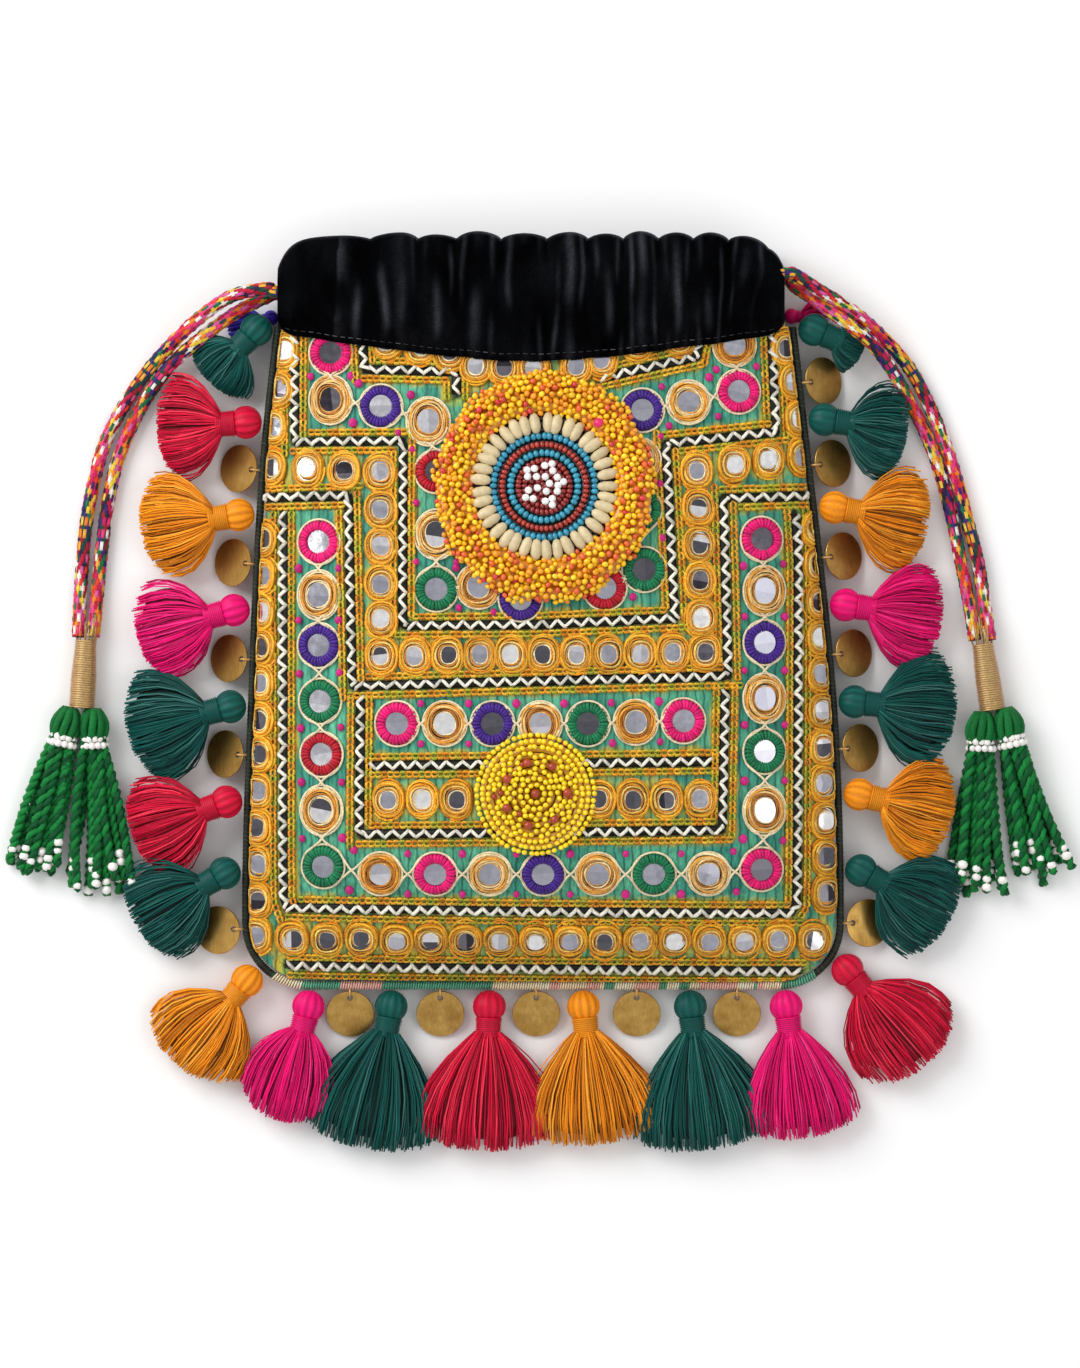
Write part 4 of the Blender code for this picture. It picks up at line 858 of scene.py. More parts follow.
largeMirrors = {
    "places": [
        (-76, 103, "pink"), (-76, 86, "gold"), (-58, 83.5, "purple"), (-41, 78, "gold"),
        (-38, 60, "crimson"), (-38, 37.5, "gold"), (-38, 18, "green"), (-23, 19, "gold"),
        (-8, 14.5, "purple"), (22, 18.5, "crimson"), (36, 25, "green"), (34.6, 46.5, "green"),
        (34.2, 64.2, "gold"), (35.5, 82, "purple"), (52, 85, "gold"), (70, 89, "pink"), (68.5, 106, "gold"),
        (-80, 35, "pink"), (-80, 16, "gold"), (-80, -2, "purple"), (-79.5, -22, "green"),
        (-79, -41, "crimson"), (-79, -61, "gold"), (-78.5, -81, "green"),
        (-58, -83.5, "gold"), (-38.5, -83.5, "pink"), (-19, -83.5, "gold"), (0, -83.5, "purple"),
        (19.5, -83.5, "gold"), (39.5, -83.5, "green"), (59, -83.5, "gold"), (78, -82, "pink"),
        (79, -61, "gold"), (79, -40, "green"), (79, -21, "gold"), (79, -1, "purple"), (79, 17.5, "gold"),
        (78, 36, "pink"), (-52, -30, "pink"), (-35, -30, "gold"), (-18, -30, "purple"), (-1, -30, "gold"),
        (16, -30, "green"), (33, -29.5, "gold"), (50, -29, "pink"),
    ],
    "inks": {"pink": (228, 14, 112), "purple": (66, 30, 132), "crimson": (184, 16, 38),
             "green": (12, 118, 74)},
    "goldInks": [(236, 176, 90), (254, 230, 176), (196, 124, 44), (252, 208, 134), (244, 168, 56)],
    "ringRadius": 0.0072, "plateRadius": 0.0041, "stitches": 32, "outlineRadius": 0.0079,
    "outline": (240, 222, 184), "tallGold": 1.14, "tallSatin": 1.03, "knotOut": 0.0072,
    "knot": (198, 24, 122), "knotRadius": 0.0014, "strands": 6, "strandRadius": 0.00049,
    "outlineThread": 0.00048, "linkThread": 0.00046, "linkReach": 0.0245,
    "satinOut": [0.0040, 0.0050, 0.0064, 0.0073], "satinLift": [0.0006, 0.0014, 0.0013, 0.0003],
    "satinThread": [0.00042, 0.00064, 0.00084, 0.0007], "innerRadius": 0.0042, "innerThread": 0.00018,
    "keepOff": 0.0068,
}
mirrorLie = 0.62  # how far a plate follows the cloth's slope
ringLean = 0.45  # rings and plates are less foreshortened at the sides: their threads stand up there
# painted reflections: pairs of tones painted on the plates for a light and a dark part of the room, with
# how often each pair is chosen
paintedMirrorReflections = [(((172, 172, 184), (182, 182, 194)), 34), (((250, 250, 250), (250, 250, 250)), 16),
               (((96, 94, 102), (104, 102, 110)), 12), (((92, 90, 98), (236, 234, 238)), 14),
               (((200, 198, 206), (226, 226, 232)), 16), (((64, 60, 66), (120, 116, 124)), 8)]


def pickPaintedReflection(chance):
    return chance.choices([reflectionTones for reflectionTones, _ in paintedMirrorReflections], [share for _, share in paintedMirrorReflections])[0]


# how much narrower a ring at this place looks from above
def foreshortened(x, y):
    slopeX, slopeY = frontSlope(x, y)
    return 1 / math.hypot(1, slopeX) ** ringLean, 1 / math.hypot(1, slopeY)


def loopPath(x, y, radiusX, radiusY, lift, steps, turn=0.0, squareness=0.0, chance=None):
    narrowX, narrowY = foreshortened(x, y)
    angles = circleAngles(steps) + turn
    grow = 1 - squareness * np.cos(4 * angles)
    if chance:
        for waves in (2, 3):
            grow = grow + 0.022 * np.sin(waves * angles + chance.uniform(0, 6))
    pathX = x + radiusX * narrowX * grow * np.cos(angles)
    pathY = y + radiusY * narrowY * grow * np.sin(angles)
    return onFront(pathX, pathY, np.broadcast_to(lift, (steps,)))


# a plate in two tones of painted reflection, standing for a light and a dark part of the room, over the
# metal's own reflection
def addPlate(bundle, chance, x, y, radius, tall, reflectionTones):
    narrowX, narrowY = foreshortened(x, y)
    turn = math.pi * chance.choice((0.5, 0.5, -0.5, 0, 1)) + chance.uniform(-0.2, 0.2)
    cut = math.acos(chance.uniform(-0.3, 0.3))
    for tone, low, high in ((reflectionTones[0], cut, 2 * math.pi - cut), (reflectionTones[1], -cut, cut)):
        angles = np.linspace(low, high, 12)
        px = np.concatenate([[math.cos(cut) * 0.99], np.cos(angles)])
        py = np.concatenate([[0.0], np.sin(angles)])
        across, along = px * math.cos(turn) - py * math.sin(turn), px * math.sin(turn) + py * math.cos(turn)
        moveX, moveY = across * radius * narrowX, along * radius * tall * narrowY
        points, _ = onFront(x + moveX, y + moveY, np.full(13, 0.0007))
        # the glass lies a little flatter than the cloth
        level = float(frontHeight(x, y)) + 0.0009
        points[:, 2] = mirrorLie * points[:, 2] + (1 - mirrorLie) * level + 0.0002
        bundle.add((points, [], [(0, k, k + 1) for k in range(1, 12)]), ink(*tone))


def smallPlaces():
    places = [tuple(np.array(p) / 1000) for p in smallMirrors["single"]]
    for start, end, count in smallMirrors["rows"]:
        run = np.array(end) - start
        places += [tuple((np.array(start) + run * k / (count - 1)) / 1000) for k in range(count)]
    return places


def sewSmallMirrors(plates, rings, chance):
    form = smallMirrors
    for x, y in smallPlaces():
        if not shown(x, y, 0.006):
            continue
        addPlate(plates, chance, x, y, form["plateRadius"], form["tall"], pickPaintedReflection(chance))
        # the inner strands sit off the middle, towards the middle of the panel at the sides
        turn, off = chance.uniform(0, 2 * math.pi), form["lean"] * chance.uniform(0.2, 1)
        inward = math.copysign(form["lean"], x) if abs(x) > 0.085 else 0
        leanX, leanY = off * math.cos(turn) - inward, off * math.sin(turn)
        for k, (radius, tone) in enumerate(form["loops"]):
            for extra in range(2 if k == 1 else 1):
                wide = radius * (1 + chance.uniform(-0.04, 0.04)) + 0.0002 * extra
                lift = 0.0007 + (0, 0.0004, 0.0007, 0.0008, 0.0005, 0.0003)[k] + 0.0003 * extra
                lift = lift + 0.00022 * np.sin(np.arange(form["steps"]) * 0.9 + chance.uniform(0, 6))
                points, normals = loopPath(x + chance.uniform(-1, 1) * 0.0002 + leanX * k / 5,
                                           y + chance.uniform(-1, 1) * 0.0002 + leanY * k / 5, wide,
                                           wide * form["tall"], lift, form["steps"], chance.uniform(0, 1),
                                           0.03, chance)
                strand = ink(*tone) * chance.uniform(0.70, 1.18)
                shades = np.array([strand * chance.uniform(0.72, 1.08) for _ in range(form["steps"])])
                rings.add(tubeShell(points, form["threadRadius"], 3, True, normals),
                          np.repeat(shades, 3, 0))
        # loose stitches that tie the ring to the cloth
        for middle in (0.25, 0.75, chance.random()):
            angles = 2 * math.pi * (middle + np.linspace(-0.11, 0.11, 5) + chance.uniform(-0.05, 0.05))
            wide = form["tieOut"] + chance.uniform(0, 0.0006)
            tieX, tieY = x + wide * np.cos(angles) * 0.95, y + wide * form["tall"] * np.sin(angles)
            points, normals = onFront(tieX, tieY, np.full(5, 0.0008))
            tint = ink(*form["loops"][chance.randrange(2)][1]) * chance.uniform(0.8, 1.1)
            rings.add(tubeShell(points, form["tieRadius"], 4, up=normals), tint)


# a large mirror has a ring of gold strands or one of satin stitches, and a cream outline
def sewLargeMirrors(plates, rings, outlines, chance):
    form = largeMirrors
    for x, y, kind in form["places"]:
        x, y = x / 1000, y / 1000
        if not shown(x, y, 0.008):
            continue
        column = abs(x) > 0.07 or abs(abs(x) - 0.0385) < 0.003
        tall = form["tallGold"] if kind == "gold" and column else form["tallSatin"]
        reflectionTones = pickPaintedReflection(chance) if kind == "gold" else paintedMirrorReflections[chance.choice((0, 0, 4, 2))][0]
        addPlate(plates, chance, x, y, form["plateRadius"], tall, reflectionTones)
        if kind == "gold":
            count = form["strands"]
            for k in range(count):
                radius = form["plateRadius"] + (form["ringRadius"] - form["plateRadius"]) * k / (count - 1)
                radius *= 1 + chance.uniform(-0.02, 0.02)
                lift = 0.0007 + 0.0007 * math.sin(math.pi * (k + 0.5) / count)
                lift = lift + 0.00025 * np.sin(np.arange(24) * 0.8 + 2 * k)
                points, normals = loopPath(x, y, radius, radius * tall, lift, 24, chance.uniform(0, 1),
                                           0.015, chance)
                tone = form["goldInks"][(k + chance.randrange(2)) % len(form["goldInks"])]
                shades = np.array([ink(*tone) * chance.uniform(0.70, 1.12) for _ in range(24)])
                rings.add(tubeShell(points, form["strandRadius"], 3, True, normals),
                          np.repeat(shades, 3, 0))
        else:
            tone = ink(*form["inks"][kind])
            narrowX, narrowY = foreshortened(x, y)
            for k in range(form["stitches"]):
                angle = 2 * math.pi * (k + chance.uniform(-0.15, 0.15)) / form["stitches"]
                radii = np.array(form["satinOut"])
                stitchX, stitchY = radii * narrowX * math.cos(angle), radii * narrowY * math.sin(angle)
                points, normals = onFront(x + stitchX, y + stitchY, form["satinLift"])
                rings.add(tubeShell(points, form["satinThread"], 5, up=normals), vary(chance, tone, 0.22))
            points, normals = loopPath(x, y, form["innerRadius"], form["innerRadius"] * tall, 0.0009, 20)
            rings.add(tubeShell(points, form["innerThread"], 4, True, normals), tone * 0.4 + 0.22)
        radius = form["outlineRadius"]
        points, normals = loopPath(x, y, radius, radius * tall, 0.0006, 30, 0.1)
        shades = np.array([ink(*form["outline"]) * chance.uniform(0.82, 1.05) for _ in range(30)])
        outlines.add(tubeShell(points, form["outlineThread"], 4, True, normals), np.repeat(shades, 4, 0))


# crossed threads between neighbours, and a knot on each side of the crossing
def linkLargeMirrors(outlines, chance):
    form = largeMirrors
    for (ax, ay, _), (bx, by, _) in zip(form["places"], form["places"][1:]):
        a, b = np.array([ax, ay]) / 1000, np.array([bx, by]) / 1000
        gap = np.linalg.norm(b - a)
        if gap > form["linkReach"]:
            continue
        way, middle = (b - a) / gap, (a + b) / 2
        flank = np.array([-way[1], way[0]])
        for sign in (-1, 1):
            out, near = (way * 0.55 + flank * sign * 0.83) * form["outlineRadius"], flank * sign * 0.0009
            line = np.array([a + out, middle - way * 0.0011 + near, middle + way * 0.0011 - near, b - out])
            if not all(shown(*p, 0.002) for p in line):
                continue
            points, normals = onFront(line[:, 0], line[:, 1], np.array([0.0006, 0.0010, 0.0010, 0.0006]))
            outlines.add(tubeShell(points, form["linkThread"], 5, up=normals),
                         ink(*form["outline"]) * chance.uniform(0.85, 1.0))
        for sign in (-1, 1):
            place = middle + flank * sign * form["knotOut"]
            if shown(*place, 0.001):
                points, normals = onFront(*place, 0.0008)
                wide = form["knotRadius"] * chance.uniform(0.85, 1.15)
                outlines.add(ballShell(beadBall, points, np.diag([wide, wide * 1.1, 0.0009])),
                             vary(chance, ink(*form["knot"]), 0.15))


def mirrorFinish():
    finish, tree, shader = startFinish("mirrorPlate", 0.12, 1.0)
    smudge = noiseNode(tree, placeNode(tree, (1, 1, 1)), 420.0, 3.0)
    shade = rampNode(tree, smudge, [(0.35, (0.86,) * 3), (0.60, (1.0,) * 3)])
    tree.links.new(blendNode(tree, "MULTIPLY", tintNode(tree), shade), shader.inputs["Base Color"])
    tree.links.new(rampNode(tree, smudge, [(0.3, (0.10,) * 3), (0.7, (0.24,) * 3)]),
                   shader.inputs["Roughness"])
    return finish


def makeMirrors():
    plates, rings, outlines = Bundle(), Bundle(), Bundle()
    chance = random.Random("mirrors")
    sewSmallMirrors(plates, rings, chance)
    sewLargeMirrors(plates, rings, outlines, chance)
    linkLargeMirrors(outlines, chance)
    plates.build("mirror_plates", mirrorFinish(), "embroidery", replaced=("front_panel",), smooth=False)
    rings.build("mirror_rings", stitchFinish, "embroidery", replaced=("front_panel",))
    outlines.build("mirror_outlines", stitchFinish, "embroidery", replaced=("front_panel",))


makeGround()
makeBands()
makeMirrors()
print("ground cloth laid, bands stitched, mirrors sewn on")

# bead medallion: wreath of seed beads, ring of bone beads, rings of seed beads round white clusters
medallion = {
    "lift": 0.0013, "wreathInner": 0.0258, "wreathOuter": (0.0388, 0.0412), "wreathHeight": 0.0058,
    "beads": 1500, "beadRadius": 0.00122, "tries": 60000, "cell": 0.0025, "spacing": 1.62,
    "wreathInks": [((250, 196, 14), 54), ((244, 158, 24), 28), ((226, 92, 40), 12), ((214, 50, 60), 3),
                   ((252, 214, 40), 8)],
    "pinkBead": (0.0192, 0.0217, 0.0019), "pink": (232, 20, 110),
    "padding": (205, 130, 20), "paddingShares": (0.22, 0.5, 0.78), "paddingRadius": 0.0026,
    "boneBeads": 37, "boneMiddle": 0.0227, "bone": (206, 188, 148), "boneLength": 0.0040,
    "boneHeight": 0.0020,
    # distance from the middle, beads, colour, bead radius
    "rings": [(0.0181, 56, (42, 140, 170), 0.00112), (0.0150, 54, (168, 46, 30), 0.00095),
              (0.0120, 38, (45, 145, 172), 0.00108), (0.0092, 34, (140, 32, 26), 0.00095),
              (0.0070, 26, (132, 28, 24), 0.00095), (0.0049, 18, (128, 26, 22), 0.00095),
              (0.0028, 10, (130, 28, 24), 0.00095), (0.0008, 3, (130, 28, 24), 0.00095)],
    "whiteSpots": [(-6.1, 5.6), (-3.5, 6.1), (-5.9, 3.2), (-2.7, 3.2), (0.2, 7.2), (2.8, 7.8), (3.1, 5.3),
                   (0.4, 3.2), (4.7, 3.0), (6.9, 1.4), (1.9, 0.8), (4.9, 0.1), (4.7, -2.0), (0.8, -2.0),
                   (-2.4, -0.8), (-5.6, -1.6), (-6.6, -4.2), (-3.9, -4.6), (0.4, -5.5), (2.9, -4.6),
                   (2.9, -6.8)],
    "white": (246, 244, 242), "whiteRadius": 0.00142, "ground": (40, 30, 30), "groundStep": 0.0022,
}


def chooseInk(chance, choices):
    return ink(*chance.choices([c for c, _ in choices], [w for _, w in choices])[0])


def surfaceAt(x, y, lift):
    points, normals = onFront(np.array([x]), np.array([y]), np.array([lift]))
    return points[0], normals[0]


def beadAxes(normal, angle, along, across, tall):
    way = np.array([math.cos(angle), math.sin(angle), 0.0])
    way -= normal * np.dot(way, normal)
    way /= np.linalg.norm(way)
    return np.array([way * along, np.cross(normal, way) * across, normal * tall])


# the wreath: beads in two levels over a padded ring, none closer to another than the spacing
def makeWreath(chance):
    form, (cx, cy) = medallion, rosettePlace
    wreath, taken = Bundle(), {}
    radius, cellSize, tries, placedBeads = form["beadRadius"], form["cell"], 0, 0
    outerX, outerY = form["wreathOuter"]
    while placedBeads < form["beads"] and tries < form["tries"]:
        tries += 1
        angle = chance.uniform(0, 2 * math.pi)
        share = chance.random()
        outer = math.hypot(outerX * math.cos(angle), outerY * math.sin(angle))
        outer *= 1 + 0.018 * math.sin(9 * angle) + 0.012 * math.sin(17 * angle + 1)
        away = math.sqrt(form["wreathInner"] ** 2 + share * (outer**2 - form["wreathInner"] ** 2))
        across = (away - form["wreathInner"]) / (outer - form["wreathInner"])
        x, y = cx + away * math.cos(angle), cy + away * math.sin(angle)
        dome = math.sqrt(max(0.0, 1 - (2 * across - 1) ** 2))
        level = chance.choice([0, 1, 1])
        z = 0.0007 + (form["wreathHeight"] - 0.0012) * dome * (0.86 if level else 0.5)
        z += chance.uniform(-0.0005, 0.0005)
        cell = (int(x / cellSize), int(y / cellSize), int(z / cellSize))
        beside = [(cell[0] + i, cell[1] + j, cell[2] + k)
                  for i in (-1, 0, 1) for j in (-1, 0, 1) for k in (-1, 0, 1)]
        near = [p for other in beside for p in taken.get(other, [])]
        reach = (form["spacing"] * radius) ** 2
        if any((p[0] - x) ** 2 + (p[1] - y) ** 2 + (p[2] - z) ** 2 < reach for p in near):
            continue
        taken.setdefault(cell, []).append((x, y, z))
        placedBeads += 1
        at, normal = surfaceAt(x, y, form["lift"] + z)
        size = radius * chance.uniform(0.92, 1.10)
        turn, tall = chance.uniform(0, math.pi), size * chance.uniform(0.9, 1.05)
        axes = beadAxes(normal, turn, size * 0.85, size, tall)
        wreath.add(ballShell(beadBall, at, axes), vary(chance, chooseInk(chance, form["wreathInks"]), 0.10))
    pinkX, pinkY, pinkRadius = form["pinkBead"]
    at, normal = surfaceAt(cx + pinkX, cy + pinkY, form["lift"] + 0.0052)
    wreath.add(ballShell(beadBall, at, np.eye(3) * pinkRadius), ink(*form["pink"]))
    # a darker padded ring under the beads
    angles = circleAngles(60)
    for share in form["paddingShares"]:
        away = form["wreathInner"] + (outerX - form["wreathInner"]) * share
        awayY = away * (1 + (outerY / outerX - 1) * share)
        points, normals = onFront(cx + away * np.cos(angles), cy + awayY * np.sin(angles),
                                  np.full(60, form["lift"] + 0.0012))
        wreath.add(tubeShell(points, form["paddingRadius"], 6, True, normals, 0.7), ink(*form["padding"]))
    wreath.build("medallion_wreath", seedFinish, "yellow_beads", replaced=("rosette_wreath",))


def makeMedallion():
    form, (cx, cy), chance = medallion, rosettePlace, random.Random("wreath")
    makeWreath(chance)
    # long bone beads, blunter than a ball
    points, quads, triangles = ballTemplate(10, 8)
    points[:, 0] = np.sign(points[:, 0]) * np.abs(points[:, 0]) ** 0.8
    boneBall, bones = (points, quads, triangles), Bundle()
    for k in range(form["boneBeads"]):
        angle = 2 * math.pi * (k + chance.uniform(-0.12, 0.12)) / form["boneBeads"]
        away = form["boneMiddle"] + chance.uniform(-0.0003, 0.0003)
        x, y = cx + away * math.cos(angle), cy + away * math.sin(angle)
        at, normal = surfaceAt(x, y, form["lift"] + 0.0019)
        tilt = angle + chance.uniform(-0.10, 0.10)
        axes = beadAxes(normal, tilt, form["boneLength"], chance.uniform(0.00190, 0.00218),
                        form["boneHeight"])
        bones.add(ballShell(boneBall, at, axes), vary(chance, ink(*form["bone"]), 0.08))
    bones.build("medallion_bone_beads", boneFinish, "bone_beads", replaced=("rosette_bone_ring",))
    rings = Bundle()
    for away, count, tone, size in form["rings"]:
        for k in range(count):
            angle = 2 * math.pi * (k + chance.uniform(-0.1, 0.1)) / count
            at, normal = surfaceAt(cx + away * math.cos(angle), cy + away * math.sin(angle),
                                   form["lift"] + 0.0011 + chance.uniform(0, 0.0002))
            rings.add(ballShell(beadBall, at, beadAxes(normal, angle, size * 1.30, size, size)),
                      vary(chance, ink(*tone), 0.16))
    for dx, dy in form["whiteSpots"]:
        at, normal = surfaceAt(cx + dx / 1000, cy + dy / 1000, form["lift"] + 0.0020)
        rings.add(ballShell(beadBall, at, np.eye(3) * form["whiteRadius"]),
                  vary(chance, ink(*form["white"]), 0.03))
    angles = circleAngles(48)
    for away in np.arange(0.0010, 0.0255, form["groundStep"]):
        points, normals = onFront(cx + away * np.cos(angles), cy + away * np.sin(angles),
                                  np.full(48, form["lift"] - 0.0002))
        rings.add(tubeShell(points, 0.0013, 4, True, normals, 0.5), ink(*form["ground"]))
    rings.build("medallion_centre", seedFinish, "blue_beads", replaced=("rosette_centre",))


# small medallion: rings of yellow beads round petals with a red-brown bead
button = {
    "lift": 0.0013, "height": 0.0032, "beadRadius": 0.00108, "beadStep": 0.00215, "brownSize": 1.6,
    "rings": [0.0209, 0.0188, 0.0167], "middleRings": [(0.0031, 9), (0.0054, 15)], "fillRadius": 0.0165,
    "tries": 2500, "petalMiddle": 0.0113, "petalRadius": 0.0034,
    "petalAngles": [105, 58, 2, -53, -103, -154, 153], "yellow": (247, 214, 12), "brown": (166, 52, 28),
    "ground": (190, 130, 10), "groundStep": 0.0025,
}


def makeButton():
    form, chance = button, random.Random("button")
    cx, cy = buttonPlace
    bundle = Bundle()
    spots, radius = [], form["beadRadius"]

    def put(x, y, tone, size, extra=0.0):
        away = math.hypot(x, y)
        height = form["height"] * math.sqrt(max(0.0, 1 - (away / 0.0235) ** 2)) + extra
        at, normal = surfaceAt(cx + x, cy + y, form["lift"] + height - 0.0006)
        axes = beadAxes(normal, math.atan2(y, x) + chance.uniform(-0.4, 0.4), size * 0.92, size, size)
        bundle.add(ballShell(beadBall, at, axes), vary(chance, tone, 0.09))
        spots.append((x, y))

    yellow, brown = ink(*form["yellow"]), ink(*form["brown"])
    for angle in form["petalAngles"]:
        angle = math.radians(angle)
        px, py = form["petalMiddle"] * math.cos(angle), form["petalMiddle"] * math.sin(angle)
        put(px, py, brown, radius * form["brownSize"], 0.0006)
        for turn in circleAngles(10):
            put(px + form["petalRadius"] * math.cos(turn), py + form["petalRadius"] * math.sin(turn),
                yellow, radius)
    put(0, 0, brown, radius * form["brownSize"], 0.0006)
    for away, count in form["middleRings"]:
        for turn in circleAngles(count):
            put(away * math.cos(turn), away * math.sin(turn), yellow, radius)
    for away in form["rings"]:
        count = int(2 * math.pi * away / form["beadStep"])
        for k in range(count):
            angle = 2 * math.pi * (k + chance.uniform(-0.2, 0.2)) / count
            put(away * math.cos(angle) * (1 + chance.uniform(-0.01, 0.01)), away * math.sin(angle), yellow,
                radius)
    for _ in range(form["tries"]):
        away, angle = form["fillRadius"] * math.sqrt(chance.random()), chance.uniform(0, 2 * math.pi)
        x, y = away * math.cos(angle), away * math.sin(angle)
        if all((x - a) ** 2 + (y - b) ** 2 > (1.55 * radius) ** 2 for a, b in spots):
            put(x, y, yellow if chance.random() > 0.12 else brown, radius)
    angles = circleAngles(40)
    for away in np.arange(0.0010, 0.0192, form["groundStep"]):
        points, normals = onFront(cx + away * np.cos(angles), cy + away * np.sin(angles),
                                  np.full(40, form["lift"] + 0.0008))
        bundle.add(tubeShell(points, 0.0015, 4, True, normals, 0.8), ink(*form["ground"]))
    bundle.build("button_beads", seedFinish, "yellow_beads", replaced=("beaded_button",))


seedFinish = beadFinish("seedBeads", 0.28, 0.35)
boneFinish = beadFinish("boneBeads", 0.5, 0.05)
makeMedallion()
makeButton()
print("medallions beaded")


# velvet casing: soft upright gathers, smooth shoulders
velvet = {
    # the middles of the humps along the top, in pixels, and how high each one stands
    "humps": [(340, 0.55), (402, 0.85), (436, 0.6), (478, 1.0), (525, 0.75), (570, 0.9), (606, 0.7),
              (640, 1.0), (676, 0.85), (710, 0.9), (746, 0.7), (790, 0.5)],
    "columns": 300, "frontRows": 20, "thickness": 0.0084, "topAbove": 0.0335, "shoulderDrop": 0.0085,
    "hemClearance": 0.0011, "hemThickness": 0.0024, "foldDepth": 0.0052, "foldRidge": 0.0028,
    "ledge": 0.0010, "lean": 0.0060, "channelCover": 0.0034, "wrinkle": 0.0010,
    # the tint of the pile is a bluish cast over the velvet's own colour and over its painted highlights
    "pileAndSheenTint": (0.86, 0.92, 1.12), "backColumns": 150, "backRows": 9, "backDepth": 0.0014,
    "stitch": (92, 92, 98), "stitches": 62, "stitchRadius": 0.00018, "stitchShades": (0.08, 0.15, 0.3, 0.8),
    # painted highlights on the pile beside the ridges: place beside a hump, width, seed; dark is the
    # velvet's own colour, pale and patch set the painted highlight lines and painted sheen patches
    "streaks": [(-0.30, 0.055, 2.0), (0.33, 0.045, 8.0), (0.02, 0.10, 5.0)], "dark": 0.0018, "pale": 0.034,
    "patch": 0.0028,
}


# rounded humps with sharp valleys between them; 1 on a hump, 0 in a valley
def foldAt(x):
    middles = np.array([fromPixel(p, 0)[0] for p, _ in velvet["humps"]])
    highs = np.array([h for _, h in velvet["humps"]])
    phase = np.interp(x, middles, np.arange(len(middles)))
    nearest = highs[np.clip(np.round(phase).astype(int), 0, len(highs) - 1)]
    return np.abs(np.cos(math.pi * phase)) ** 0.62 * nearest


# how far the casing's top drops towards its ends
def shoulder(share):
    return velvet["shoulderDrop"] * (abs(share) ** 26 + 0.35 * abs(share) ** 9)


# the height that the casing's hem has to clear
def underVelvet(x, y):
    edgeTop = seamHeight(y) + 0.2 * pouch["piping"]
    return float(max(frontHeight(x, min(y, pouch["topY"])), edgeTop)) + velvet["hemClearance"]


# a place on the front of the casing: share runs along it, v from the hem to the top
def velvetPoint(share, v):
    form = velvet
    x, z = casingForm["shift"] + share * casingForm["width"] / 2, casingMiddle(share, "front")
    half = form["thickness"] / 2
    sway = noise.noise((x * 22, 2.0, 0)) + 0.5 * noise.noise((x * 60, 5.0, 0))
    leaning = x + form["lean"] * (1 - v) * sway
    fold = float(foldAt(leaning))
    wrinkle = noise.noise((x * 75, v * 1.6, 3)) * 0.6 + noise.noise((x * 160, v * 3.0, 9)) * 0.25
    crest = float(foldAt(x))
    top = pouch["topY"] + form["topAbove"] - shoulder(share) + form["foldRidge"] * (crest - 0.85)
    hem = float(hemHeight(x)) + 0.0004 * noise.noise((x * 90, 0, 5)) + 0.004 * abs(share) ** 40
    y = hem + (top - hem) * v
    over = underVelvet(x, y) if y < pouch["topY"] + 0.002 else -1
    ends = smoothStep((1 - abs(share)) / 0.10)
    swell = form["foldDepth"] * (0.30 + 0.70 * smoothStep(v * 1.3)) * (fold - 0.55)
    swell += form["wrinkle"] * wrinkle
    # the cloth rises from the hem, rounds over the casing and rolls back at the top
    rise = smoothStep(v / 0.30)
    roll = math.sqrt(max(0.0, 1 - ((max(v, 0.78) - 0.78) / 0.22) ** 2))
    flatZ = z + half * roll + swell * ends * (0.35 + 0.65 * roll) - (1 - ends) * half * 0.55
    low = over + form["hemThickness"] * (0.75 + 0.25 * smoothStep(v / 0.06)) if over > 0 else flatZ
    height = low + (flatZ - low) * rise if over > 0 else flatZ
    if over > 0:
        height = max(height, over + form["hemThickness"] * 0.8)
    elif v < 0.80:
        height = max(height, z + form["channelCover"])
    return x, y, height, hem, top, pileToneWithPaintedHighlights(leaning, x, v)


# painted highlights: thin pale lines beside the ridges and soft painted sheen patches between them, over
# the velvet's own dark colour
def pileToneWithPaintedHighlights(leaning, x, v):
    middles = [fromPixel(p, 0)[0] for p, _ in velvet["humps"]]
    phase = float(np.interp(leaning, middles, np.arange(len(middles))))
    hump = math.floor(phase + 0.5)
    light = 0.0
    for place, wide, seed in velvet["streaks"]:
        strength = smoothStep(0.25 + 1.7 * noise.noise((hump * 2.7 + seed, v * 1.8, seed)))
        waver = 0.10 * noise.noise((hump * 1.3, v * 2.2, seed))
        light += strength * math.exp(-(((phase - hump) - place - waver) / wide) ** 2)
    if not middles[0] < leaning < middles[-1]:
        light = 0.0
    patch = smoothStep(0.35 + 1.3 * noise.noise((x * 55, v * 2.0, 6)))
    paintedHighlightLine = velvet["pale"] * light * (0.4 + 0.6 * smoothStep(v * 4))
    return velvet["dark"] + paintedHighlightLine + velvet["patch"] * patch


# one section through the casing: up its front, down its inner face, and back under the hem
def velvetRing(share):
    form = velvet
    rows = [velvetPoint(share, k / (form["frontRows"] - 1)) for k in range(form["frontRows"])]
    x, _, _, hem, top, _ = rows[0]
    z, half = casingMiddle(share, "front"), form["thickness"] / 2
    join = pouch["topY"] + pouch["gap"]
    inside, overlap = z - half, (hem + join) / 2
    ledge = min(inside - form["ledge"], underVelvet(x, join) - 0.0004)
    back = [(x, top - 0.0012, z - half * 0.6), (x, top - 0.0045, inside), (x, (join + top) / 2, inside),
            (x, join + 0.0002, ledge), (x, join, underVelvet(x, join)),
            (x, overlap, underVelvet(x, overlap)), (x, hem, underVelvet(x, hem))]
    return [row[:3] for row in rows] + back, [row[5] for row in rows] + [form["dark"]] * len(back)


